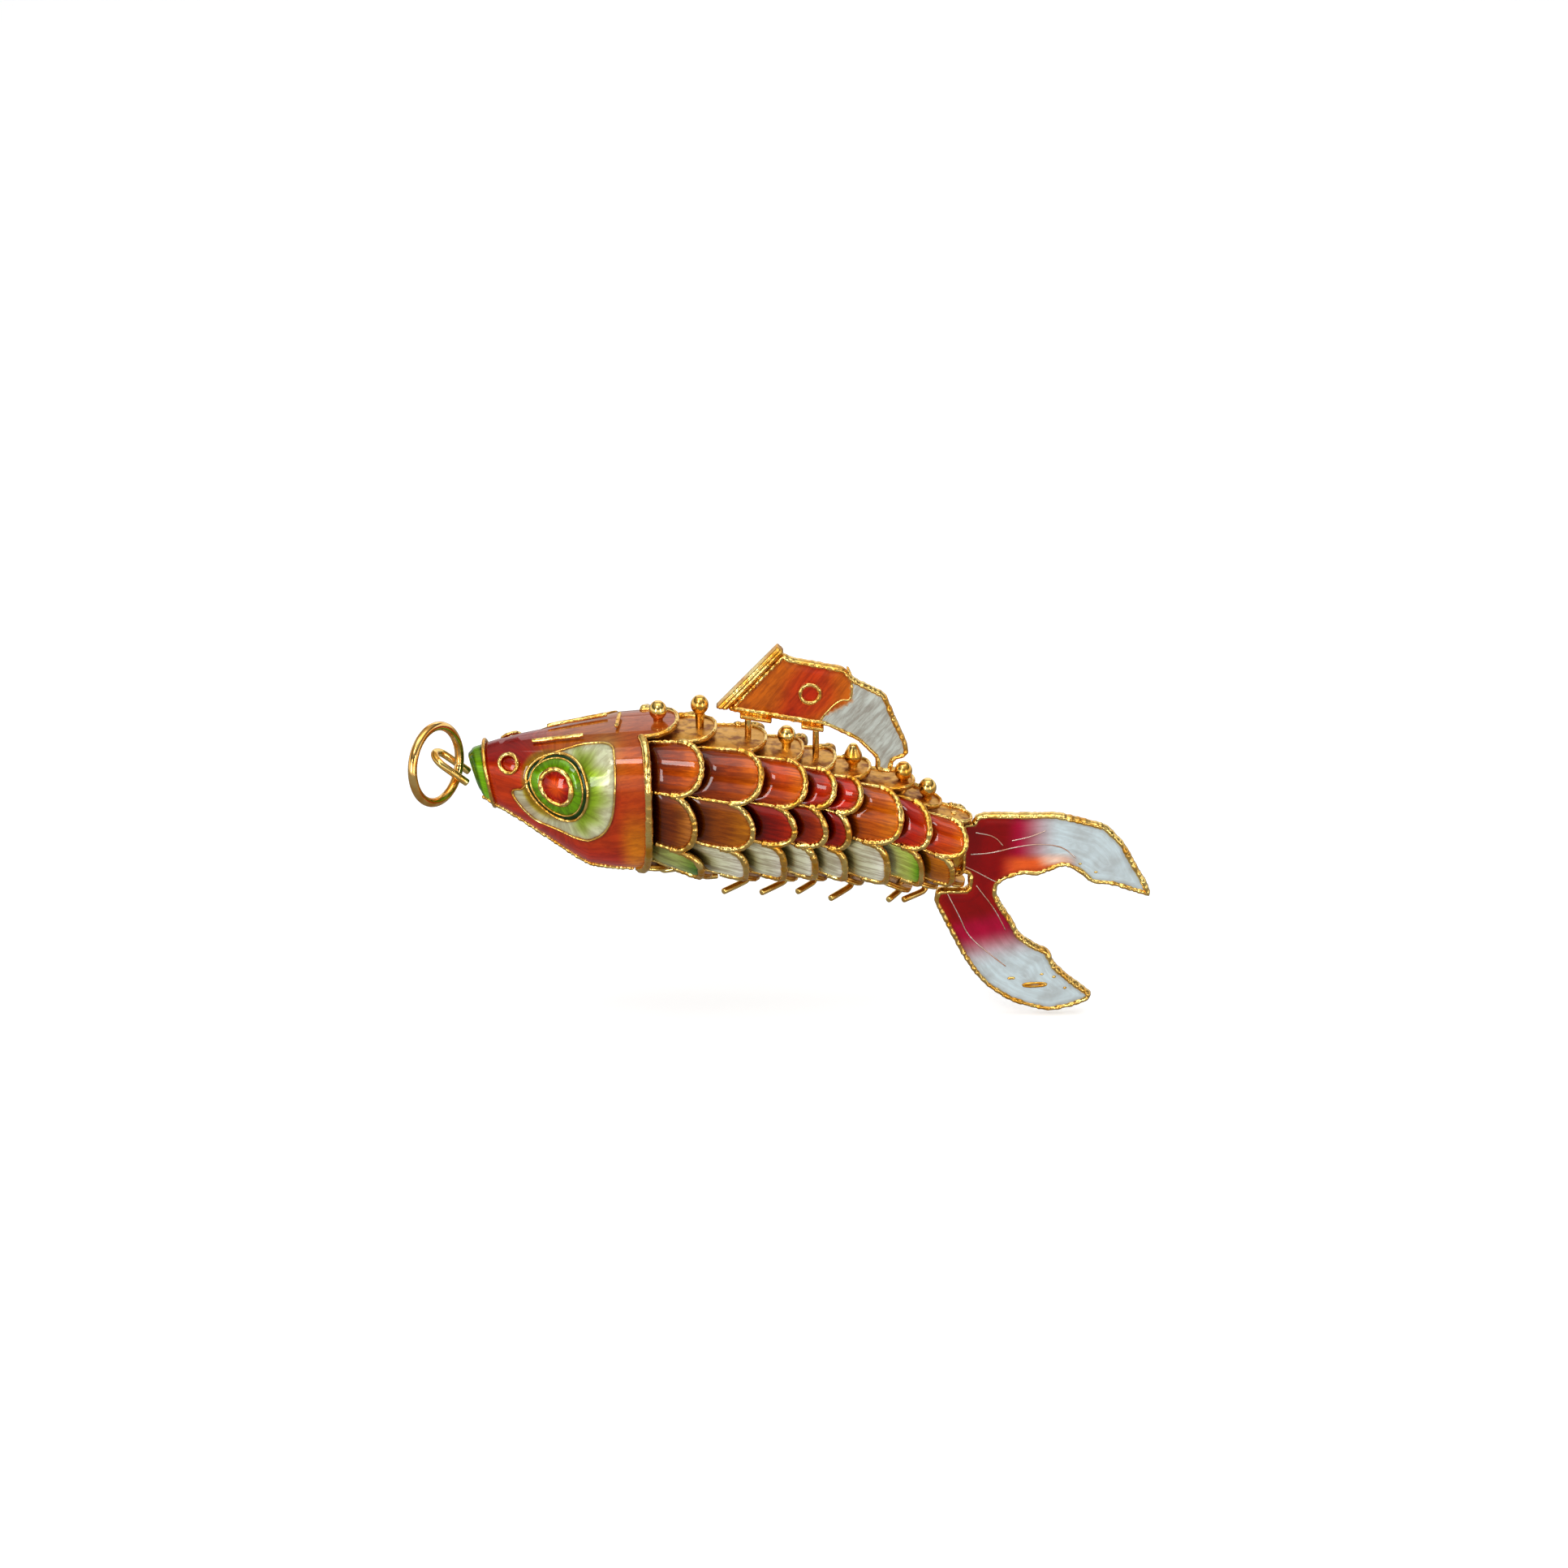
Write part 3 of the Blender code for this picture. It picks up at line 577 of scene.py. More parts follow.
def resampled(path: np.ndarray, step: float, closed: bool) -> np.ndarray:
    """Path with points a given distance apart.

    Args:
        path: points, one row each.
        step: distance between the new points.
        closed: whether the last point joins the first.

    Returns:
        The new points.
    """
    path = np.asarray(path, float)
    if closed:
        path = np.vstack([path, path[:1]])
    lengths = np.linalg.norm(np.diff(path, axis=0), axis=1)
    along = np.concatenate([[0], np.cumsum(lengths)])
    count = max(int(round(along[-1] / step)), 3)
    places = np.linspace(0, along[-1], count, endpoint=not closed)
    return np.stack([np.interp(places, along, path[:, axis]) for axis in range(path.shape[1])], 1)


def rounded(path: np.ndarray, passes: int = 2, closed: bool = True) -> np.ndarray:
    """Path with its corners cut, pass by pass.

    Args:
        path: points, one row each.
        passes: how many times the corners are cut.
        closed: whether the last point joins the first.

    Returns:
        The rounder path.
    """
    path = np.asarray(path, float)
    for _ in range(passes):
        ahead = np.roll(path, -1, axis=0)
        cut = np.empty((2 * len(path), path.shape[1]))
        cut[0::2] = path * 0.75 + ahead * 0.25
        cut[1::2] = path * 0.25 + ahead * 0.75
        path = cut if closed else np.vstack([path[:1], cut[:-2], path[-1:]])
    return path


@dataclass
class Wire:
    """Round wire laid along a path, with the beads and dents of soldered filigree."""

    path: np.ndarray
    radius: float | np.ndarray
    closed: bool = False
    beads: float = 0.0
    bead_pitch: float = 0.42
    step: float = 0.10
    sides: int = 10
    seed: int = 1
    flatten: float = 1.0
    up: tuple[float, float, float] = (0.0, 1.0, 0.0)

    def mesh(self) -> tuple[np.ndarray, list[tuple[int, ...]]]:
        """Points and faces of the wire.

        Returns:
            The points and the faces.
        """
        given = np.asarray(self.path, float)
        radius = np.broadcast_to(np.asarray(self.radius, float), (len(given),))
        laid = resampled(np.column_stack([given, radius]), self.step, self.closed)
        path, radii = laid[:, :3], laid[:, 3].copy()
        count = len(path)
        knots = max(int(count * self.step / self.bead_pitch), 3)
        radii *= 1 + self.beads * noise_line(count, 2 * knots, self.seed)
        if not self.closed:
            ends = np.minimum(np.arange(count), np.arange(count)[::-1]) * self.step
            radii *= np.sqrt(np.clip(0.12 + ends / max(float(radius.mean()), 0.01), 0, 1))
        if self.closed:
            along = np.roll(path, -1, 0) - np.roll(path, 1, 0)
        else:
            along = np.gradient(path, axis=0)
        along /= np.linalg.norm(along, axis=1, keepdims=True) + TINY
        side = np.empty_like(path)
        last = np.cross(along[0], self.up)
        if np.linalg.norm(last) < 0.2:
            last = np.cross(along[0], (1.0, 0.0, 0.0))
        for i in range(count):
            last = last - along[i] * (last @ along[i])
            last /= np.linalg.norm(last) + TINY
            side[i] = last
        over = np.cross(along, side)
        turns = turned(self.sides)
        points = np.concatenate([
            path[i] + radii[i] * (np.outer(np.cos(turns), side[i])
                                  + self.flatten * np.outer(np.sin(turns), over[i]))
            for i in range(count)])
        return points, ring_faces(count, self.sides, self.closed, capped=not self.closed)


def wires_object(name: str, wires: Sequence[Wire],
                 material: bpy.types.Material) -> bpy.types.Object:
    """One object of several wires.

    Args:
        name: object name.
        wires: the wires.
        material: their finish.

    Returns:
        The object.
    """
    points, faces, start = [], [], 0
    for wire in wires:
        some, theirs = wire.mesh()
        points.append(some)
        faces += [tuple(i + start for i in face) for face in theirs]
        start += len(some)
    return mesh_object(name, np.concatenate(points), faces, material)


def settle(made: bpy.types.Object, body: str, slot: str, *nodes: str) -> bpy.types.Object:
    """Tie a piece to its body and hide the nodes it stands for.

    Args:
        made: the piece.
        body: the body it moves with.
        slot: not used.
        nodes: the nodes it is shown in place of.

    Returns:
        The piece.
    """
    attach(made, body)
    if nodes:
        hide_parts(*nodes)
    LOG.info("%s rides on %s: %d faces", made.name, body, len(made.data.polygons))
    return made


BEAD_HEIGHT = 0.035
WELD = 0.002
CAP_SIDES = 6
CAP_REACH = 0.45
CAP_HEIGHT = 0.14


def refined(frame: dict[str, Any], node: str, material: bpy.types.Material, body: str,
            slot: str, swell: float = 0.0, levels: int = 2,
            shape: Callable[[np.ndarray], np.ndarray] | None = None) -> bpy.types.Object:
    """Smooth piece grown from a node's own solid.

    Args:
        frame: the loaded frame.
        node: the node.
        material: its finish.
        body: the body it moves with.
        slot: passed on to settle, which does not use it.
        swell: how far the surface moves out first, because subdividing shrinks it.
        levels: subdivision levels.
        shape: last change to the points, in millimetres.

    Returns:
        The piece.
    """
    work = bmesh.new()
    work.from_mesh(frame["nodes"][node].data)
    bmesh.ops.remove_doubles(work, verts=work.verts, dist=WELD * MM)
    bmesh.ops.dissolve_limit(work, angle_limit=0.02, verts=work.verts, edges=work.edges)
    bmesh.ops.join_triangles(work, faces=work.faces, angle_face_threshold=0.6,
                             angle_shape_threshold=1.2)
    work.normal_update()
    for place, way in [(f.calc_center_median(), f.normal.copy()) for f in work.faces
                       if len(f.verts) >= CAP_SIDES]:
        near = [f for f in work.faces
                if any((v.co - place).length < CAP_REACH * MM for v in f.verts)]
        edges = list({e for f in near for e in f.edges})
        bmesh.ops.bisect_plane(work, geom=near + edges,
                               plane_co=place - way * CAP_HEIGHT * MM, plane_no=way)
    work.normal_update()
    for vert in work.verts:
        vert.co += vert.normal * swell * MM
    mesh = bpy.data.meshes.new(f"{node}_piece")
    work.to_mesh(mesh)
    work.free()
    mesh.materials.clear()
    mesh.materials.append(material)
    made = bpy.data.objects.new(f"{node}_piece", mesh)
    bpy.context.scene.collection.objects.link(made)
    soften = made.modifiers.new("soften", "SUBSURF")
    soften.levels = soften.render_levels = levels
    bpy.context.view_layer.update()
    ready = bpy.data.meshes.new_from_object(
        made.evaluated_get(bpy.context.evaluated_depsgraph_get()))
    made.modifiers.clear()
    made.data = ready
    if shape:
        points = np.array([v.co for v in ready.vertices]) / MM
        ready.vertices.foreach_set("co", (shape(points) * MM).astype(np.float32).ravel())
    ready.shade_smooth()
    return settle(made, body, slot, node)


# Measured surfaces


class Shell:
    """Smooth surface of a hollow shell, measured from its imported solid."""

    BACK_POWER = 3.0
    BELLY_POWER = 2.4
    NOSE_POWER = 2.3
    FLAT_FROM = (10.0, 16.0)
    LEVELS = (0.0, 0.6)
    PROBE_AT = 0.7
    FAR = 30.0
    FAR_BELOW = -40.0
    STATIONS = 24
    PASSES = 4
    REACH = 1.0
    STRIDE = 0.15
    HALVINGS = 5

    def __init__(self, frame: dict[str, Any], node: str, first: float, last: float,
                 round_nose: bool = False) -> None:
        """Measure a shell.

        Args:
            frame: the loaded frame.
            node: the shell's node.
            first: x of the first section measured.
            last: x of the last one.
            round_nose: whether its back is rounder at the front, as on the head.
        """
        mesh = frame["nodes"][node].data
        self.tree = BVHTree.FromPolygons([v.co / MM for v in mesh.vertices],
                                         [tuple(p.vertices) for p in mesh.polygons])
        self.low, self.high = box_of(node)
        self.round_nose = round_nose
        self.stations = np.linspace(first, last, self.STATIONS)
        self.sections = np.array([self._section(x) for x in self.stations])

    def power(self, x: Any, height: Any) -> Any:
        """Exponent of the section at x, on its back or its belly half."""
        back = np.full(np.shape(x), self.BACK_POWER)
        if self.round_nose:
            share = np.clip((np.asarray(x) - self.FLAT_FROM[0]) / np.ptp(self.FLAT_FROM), 0, 1)
            back = self.NOSE_POWER + (self.BACK_POWER - self.NOSE_POWER) * share
        return np.where(np.asarray(height) >= 0, back, self.BELLY_POWER)

    def _hit(self, start: Sequence[float], way: Sequence[float]) -> np.ndarray | None:
        """First point of the solid along a ray, or None."""
        found = self.tree.ray_cast(Vector(start), Vector(way))[0]
        return None if found is None else np.array(found)

    def _section(self, x: float) -> tuple[float, float, float]:
        """Middle height, half height and half width of the section at x.

        Args:
            x: where along the fish.

        Returns:
            The three sizes.
        """
        half = self.high[1] * 0.6
        middle, tall = (self.low[2] + self.high[2]) / 2, (self.high[2] - self.low[2]) / 2
        for _ in range(self.PASSES):
            probe = self.PROBE_AT * half
            top = self._hit((x, probe, self.FAR), (0, 0, -1))
            low = self._hit((x, probe, self.FAR_BELOW), (0, 0, 1))
            if top is None or low is None:
                half *= self.PROBE_AT
                continue
            powers = float(self.power(x, 1)), self.BELLY_POWER
            up, down = ((1 - self.PROBE_AT ** power) ** (1 / power) for power in powers)
            tall = (top[2] - low[2]) / (up + down)
            middle = top[2] - tall * up
            widths = []
            for level in self.LEVELS:
                side = self._hit((x, self.FAR, middle + level * tall), (0, -1, 0))
                if side is not None and side[1] > 0:
                    widths.append(side[1] / (1 - level ** powers[0]) ** (1 / powers[0]))
            half = max(widths, default=half)
        return middle, tall, half

    def at(self, x: np.ndarray) -> tuple[np.ndarray, np.ndarray, np.ndarray]:
        """Middle, half height and half width at x, carried on straight past the ends.

        Args:
            x: places along the fish.

        Returns:
            The three sizes at each place.
        """
        out = []
        for column in self.sections.T:
            value = np.interp(x, self.stations, column)
            slope = (column[-1] - column[-2]) / (self.stations[-1] - self.stations[-2])
            value = value + np.clip(x - self.stations[-1], 0, None) * slope
            slope = (column[1] - column[0]) / (self.stations[1] - self.stations[0])
            out.append(value + np.clip(x - self.stations[0], None, 0) * slope)
        return out[0], out[1], out[2]

    def flat_points(self, x: Any, angle: Any) -> np.ndarray:
        """Points of the surface at x and at a unit angle from the back."""
        x, angle = np.broadcast_arrays(np.asarray(x, float), np.asarray(angle, float))
        y, z = np.sin(angle), np.cos(angle)
        power = self.power(x, z)
        size = (np.abs(y) ** power + np.abs(z) ** power) ** (-1 / power)
        middle, tall, half = self.at(x)
        return np.stack([x, y * size * half, middle + z * size * tall], -1)

    def normals(self, x: Any, angle: Any) -> np.ndarray:
        """Outward unit normals of the surface."""
        step = 0.03
        along = self.flat_points(np.asarray(x) + step, angle) - self.flat_points(
            np.asarray(x) - step, angle)
        around = self.flat_points(x, np.asarray(angle) + step) - self.flat_points(
            x, np.asarray(angle) - step)
        normal = np.cross(along, around)
        return normal / (np.linalg.norm(normal, axis=-1, keepdims=True) + TINY)

    def points(self, x: Any, angle: Any, lift: Any = 0.0) -> np.ndarray:
        """Points lifted off the surface.

        Args:
            x: places along the fish.
            angle: unit angles from the back.
            lift: how far they stand above the surface.

        Returns:
            The points.
        """
        lift = np.broadcast_to(np.asarray(lift, float), np.broadcast(x, angle).shape)
        return self.flat_points(x, angle) + self.normals(x, angle) * lift[..., None]

    def solid_at(self, x: float, angle: float) -> bool:
        """Whether the shell has metal here."""
        base = self.flat_points(x, angle)
        way = self.normals(x, angle)
        start = base + way * self.REACH
        found = self.tree.ray_cast(Vector(start), Vector(-way), 1.6 * self.REACH)[0]
        return found is not None

    def rear(self, angle: float, lowest: float) -> float:
        """Rear edge of the shell at an angle.

        Args:
            angle: unit angle from the back.
            lowest: where the search ends.

        Returns:
            The x of the edge.
        """
        x = self.high[0] + 0.1
        while x > lowest and not self.solid_at(x, angle):
            x -= self.STRIDE
        near, far = x, x + self.STRIDE
        for _ in range(self.HALVINGS):
            middle = (near + far) / 2
            if self.solid_at(middle, angle):
                near = middle
            else:
                far = middle
        return near


@dataclass
class RimRow:
    """One scallop of a shell's rear edge: its angles, the x of its two valleys and its end."""

    start: float
    stop: float
    valleys: tuple[float, float]
    end: float

    def rear(self, share: np.ndarray, power: float) -> np.ndarray:
        """Rounded rear edge at shares from -1 to 1 across the scallop."""
        valley = self.valleys[0] + (self.valleys[1] - self.valleys[0]) * (share + 1) / 2
        swell = np.clip(1 - np.abs(share) ** power, 0, 1) ** (1 / power)
        return valley + (self.end - valley) * swell

    @property
    def middle(self) -> float:
        """Angle of the scallop's middle."""
        return (self.start + self.stop) / 2


def rim_rows(shell: Shell, lowest: float, count: int = 360, near: int = 6, wide: int = 14,
             notch: float = 0.25) -> list[RimRow]:
    """Scallops of a shell's rear edge, found between the valleys of its traced edge.

    Args:
        shell: the measured shell.
        lowest: x at which the trace ends.
        count: places traced round the edge.
        near: a valley is the lowest of this many places to each side.
        wide: its depth is read within this many places to each side.
        notch: least depth of a valley.

    Returns:
        The scallops, from the back round the +Y side.
    """
    angles = turned(count)
    edge = np.array([shell.rear(a, lowest) for a in angles])
    lowest_near = np.min([np.roll(edge, shift) for shift in range(-near, near + 1)], 0)
    highest_round = np.max([np.roll(edge, shift) for shift in range(-wide, wide + 1)], 0)
    is_valley = (edge <= lowest_near + 1e-6) & (highest_round - edge > notch)
    found = [i for i in range(count) if is_valley[i] and not is_valley[i - 1]]
    rows = []
    for first, second in zip(found, found[1:] + [found[0] + count]):
        span = np.arange(first, second + 1) % count
        start = angles[first]
        stop = angles[second % count] + (TURN if second >= count else 0)
        rows.append(RimRow(start, stop, (edge[first], edge[second % count]), edge[span].max()))
    return rows


# Sleeves


@dataclass(frozen=True)
class RowPaint:
    """Colours of one row of scales: its front, darker on most rows as painted shade where it runs
    under the sleeve before it, its body, and its rear end, lighter on most rows as a painted
    highlight and the scales' own green on the moss and leaf rows.
    """

    front: Colour
    body: Colour
    glow: Colour


# Front colours are mostly darker, as painted shade under the sleeve before; glow colours are pale
# painted highlights, except on MOSS and LEAF, whose green ends are the scales' own.
AMBER = RowPaint(srgb(92, 36, 12), srgb(166, 80, 26), srgb(222, 128, 66))
HONEY = RowPaint(srgb(84, 38, 10), srgb(158, 92, 24), srgb(205, 140, 60))
UMBER = RowPaint(srgb(52, 14, 8), srgb(140, 74, 30), srgb(214, 150, 112))
COPPER = RowPaint(srgb(120, 40, 10), srgb(196, 88, 26), srgb(240, 140, 66))
RUST = RowPaint(srgb(84, 16, 6), srgb(168, 48, 18), srgb(226, 92, 52))
BLOOD = RowPaint(srgb(70, 8, 6), srgb(150, 32, 18), srgb(208, 70, 44))
BRICK = RowPaint(srgb(88, 16, 8), srgb(152, 54, 18), srgb(206, 96, 40))
TANGERINE = RowPaint(srgb(168, 44, 14), srgb(222, 96, 28), srgb(245, 142, 52))
PUMPKIN = RowPaint(srgb(128, 62, 14), srgb(206, 112, 32), srgb(235, 150, 72))
SCARLET = RowPaint(srgb(120, 18, 10), srgb(196, 52, 26), srgb(214, 96, 34))
PEARL = RowPaint(srgb(140, 138, 120), srgb(218, 220, 210), srgb(242, 243, 238))
MOSS = RowPaint(srgb(140, 144, 120), srgb(176, 190, 150), srgb(64, 128, 34))
LEAF = RowPaint(srgb(200, 204, 186), srgb(196, 212, 150), srgb(96, 172, 14))
MUSTARD = RowPaint(srgb(120, 84, 14), srgb(196, 128, 28), srgb(214, 140, 40))


@dataclass
class Sleeve:
    """One nested body sleeve: foil and enamel scales, gilt plate, belly strip and rim wires."""

    frame: dict[str, Any]
    number: int
    rows: tuple[RowPaint, ...]
    before: Callable[[np.ndarray], np.ndarray]
    wall: float = 0.30
    dome: float = 0.20
    rim_wire: float = 0.29
    plate_wire: float = 0.15
    seam_wire: float = 0.17
    shortest_seam: float = 0.5
    tucked: float = 0.24
    girth: float = 4.6
    plate_reach: float = 0.2
    columns_in_row: int = 26
    levels: int = 34
    bunching: float = 1.6
    strip_power: float = 2.4
    scale_power: float = 2.0
    last_power: float = 3.0
    shell: Shell = field(init=False)
    rims: list[RimRow] = field(init=False)

    SEEDS = 20

    def __post_init__(self) -> None:
        """Measure the sleeve's surface and its scalloped edge."""
        low, high = (corner[0] for corner in box_of(self.name))
        self.shell = Shell(self.frame, self.name, low + 0.25, low + 0.70 * (high - low))
        self.rims = rim_rows(self.shell, low + 0.45 * (high - low))
        LOG.info("%s has %d rows in its edge", self.name, len(self.rims))

    @property
    def name(self) -> str:
        """Name of the sleeve's node and body."""
        return f"segment_{self.number}"

    def kind(self, rim: RimRow) -> int:
        """Row number down the side, -1 for the back plate and -2 for the belly strip."""
        middle = folded(rim.middle)
        if middle < self.plate_reach:
            return -1
        if middle > math.pi - self.plate_reach:
            return -2
        side = sorted(folded(r.middle) for r in self.rims
                      if self.plate_reach < r.middle % TURN < math.pi - self.plate_reach)
        return int(np.argmin(np.abs(np.array(side) - middle)))

    def power(self, kind: int) -> float:
        """Roundness of a row's rear edge."""
        if kind < 0:
            return self.strip_power
        return self.last_power if kind == len(self.rows) - 1 else self.scale_power

    def edge_at(self, angle: np.ndarray) -> np.ndarray:
        """Rear edge of the sleeve at any angle, for the sleeve inside it."""
        angles, rears = [], []
        for rim in self.rims:
            share = np.linspace(-1, 1, 25)
            angles.append(rim.middle + share * (rim.stop - rim.start) / 2)
            rears.append(rim.rear(share, self.power(self.kind(rim))))
        return read_round(angle, np.concatenate(angles), np.concatenate(rears))

    def build(self, enamel: bpy.types.Material, gilt: bpy.types.Material) -> None:
        """Build and place the sleeve's shell and its wires.

        Args:
            enamel: finish of the shell.
            gilt: finish of the wires.
        """
        angles, shares, rears, kinds = self._columns()
        front = np.full(len(angles), self.shell.low[0] + 0.02)
        t = 1 - (1 - np.linspace(0, 1, self.levels)) ** self.bunching
        x = front + (rears - front) * t[:, None]
        covered = self.before(angles)
        behind, short = x - covered, rears - x
        edge = 1 - np.abs(shares) ** 4
        ahead_of_rim = smooth(0.05, 0.75, short)
        seen = smooth(0.0, 0.9, behind)
        tuck = self.tucked * (1 - smooth(-1.6, -0.5, behind))
        lift = np.where(kinds >= 0, self.dome * edge * ahead_of_rim * seen - tuck, 0.0)
        outer = self.shell.points(x, angles + np.zeros_like(x), lift)
        inner = self.shell.points(x, angles + np.zeros_like(x), -self.wall)
        count = len(angles)
        points = np.concatenate([outer.reshape(-1, 3), inner.reshape(-1, 3)])
        faces = ring_faces(self.levels, count)
        under = [tuple(i + count * self.levels for i in face)[::-1] for face in faces]
        last = (self.levels - 1) * count
        rims = [(i, (i + 1) % count) for i in range(count)]
        shift = count * self.levels
        faces += under
        faces += [(last + i, last + j, last + j + shift, last + i + shift) for i, j in rims]
        faces += [(j, i, i + shift, j + shift) for i, j in rims]
        made = mesh_object(f"{self.name}_scales", points, faces, enamel)
        self._dress(made, x, angles, shares, kinds, behind, short)
        settle(made, self.name, "scale_enamel", self.name)
        self._wires(gilt)

    def _columns(self) -> tuple[np.ndarray, np.ndarray, np.ndarray, np.ndarray]:
        """Columns round the sleeve.

        Returns:
            Their angles, shares across their row, rear ends and row kinds.
        """
        angles, shares, rears, kinds = [], [], [], []
        for rim in self.rims:
            kind = self.kind(rim)
            steps = self.columns_in_row if kind >= 0 else self.columns_in_row // 2
            share = np.sin(math.pi / 2 * shares_across(steps))
            angles.append(rim.middle + share * (rim.stop - rim.start) / 2)
            shares.append(share)
            rears.append(rim.rear(share, self.power(kind)))
            kinds.append(np.full(steps, kind))
        return (np.concatenate(angles), np.concatenate(shares), np.concatenate(rears),
                np.concatenate(kinds))

    def _dress(self, made: bpy.types.Object, x: np.ndarray, angles: np.ndarray,
               shares: np.ndarray, kinds: np.ndarray, behind: np.ndarray,
               short: np.ndarray) -> None:
        """Paint the scales' colours with their painted shade and highlights, engraving lines and
        metal.

        Args:
            made: the shell.
            x: x of every outer point, by level and column.
            angles: angle of each column.
            shares: share of each column across its row.
            kinds: row kind of each column.
            behind: distance behind the sleeve before it.
            short: distance ahead of the rear edge.
        """
        across = np.broadcast_to(angles * self.girth, x.shape)
        tint = np.zeros(x.shape + (3,))
        for kind in sorted(set(kinds)):
            some = kinds == kind
            row = self.rows[min(max(kind, 0), len(self.rows) - 1)]
            length = (behind + short)[:, some]
            run = np.clip(behind[:, some] / np.maximum(length, 0.5), 0, 1)
            # The front colour lays painted shade where the scale runs under the sleeve before it;
            # the glow lays a painted highlight on the middle of the rear end, and on the moss and
            # leaf rows it lays their own green instead.
            glow = smooth(0.45, 0.95, run) * (1 - np.abs(shares[some]) ** 2)
            body = smooth(0.0, 0.45, run)
            tint[:, some] = laid_over(laid_over(row.front, row.body, body), row.glow, glow)
        metal = np.broadcast_to((kinds < 0).astype(float), x.shape).copy()
        metal[-1] = 1
        # Painted shade where the scale runs under the sleeve before it; darker also along the
        # seam wires at the row's sides and the rim wire at its rear, painted shade together with
        # the deeper glass there.
        depth = np.maximum(1 - smooth(-0.5, 0.7, behind), 0.6 * smooth(0.78, 1.0,
                           np.broadcast_to(np.abs(shares), x.shape)))
        depth = np.maximum(depth, 0.6 * (1 - smooth(0.1, 0.5, short)))
        flow = np.stack([across, x, np.broadcast_to(kinds * 3.7 + self.number, x.shape)], -1)
        count = x.size
        paint(made, "tint", np.concatenate([tint.reshape(-1, 3)] * 2))
        paint(made, "metal", np.concatenate([metal.ravel(), np.ones(count)]))
        paint(made, "depth", np.concatenate([depth.ravel(), np.ones(count)]))
        paint(made, "flow", np.concatenate([flow.reshape(-1, 3)] * 2))

    def _wires(self, gilt: bpy.types.Material) -> None:
        """Lay the rim wire round the edge and the seam wires between the rows."""
        angles, _, rears, kinds = self._columns()
        radius = np.where(kinds >= 0, self.rim_wire, self.plate_wire)
        path = self.shell.points(rears - radius * 0.7, angles, radius * 0.35)
        rim = Wire(path, radius, closed=True, beads=0.16, seed=self.number)
        wires = [rim]
        for index, row in enumerate(self.rims):
            valley = row.valleys[0] + 0.1
            start = float(self.before(np.array([row.start]))[0]) + 0.1
            if valley - start < self.shortest_seam:
                continue
            x = np.linspace(start, valley, 12)
            path = self.shell.points(x, np.full(len(x), row.start), self.seam_wire * 0.4)
            wires.append(Wire(path, self.seam_wire, beads=0.22, bead_pitch=0.35,
                              seed=self.number * self.SEEDS + index))
        made = wires_object(f"{self.name}_rims", wires, gilt)
        settle(made, self.name, "gilt_metal")


# Head


ROSE = srgb(190, 74, 58)
SAND = srgb(196, 116, 78)
NOSE_RED = srgb(168, 34, 48)
CORAL = srgb(204, 78, 62)
CHIN_RED = srgb(186, 56, 54)
GILL_AMBER = srgb(214, 140, 60)
GILL_ROSE = srgb(196, 96, 70)
PALE_SPOT = srgb(206, 196, 176)
CHEEK_PEARL = srgb(214, 218, 206)
CHEEK_MAUVE = srgb(188, 172, 176)
LIME = srgb(128, 166, 22)
EYE_YELLOW = srgb(196, 176, 40)
HALO_YELLOW = srgb(196, 168, 36)
LIP_GREEN = srgb(138, 196, 44)
LIP_DARK = srgb(40, 92, 10)
MOUTH_GREEN = srgb(84, 140, 22)
EYE_GREEN = srgb(104, 164, 14)
EYE_DARK = srgb(22, 66, 22)
PUPIL = srgb(224, 88, 10)
EMBER = srgb(170, 18, 6)


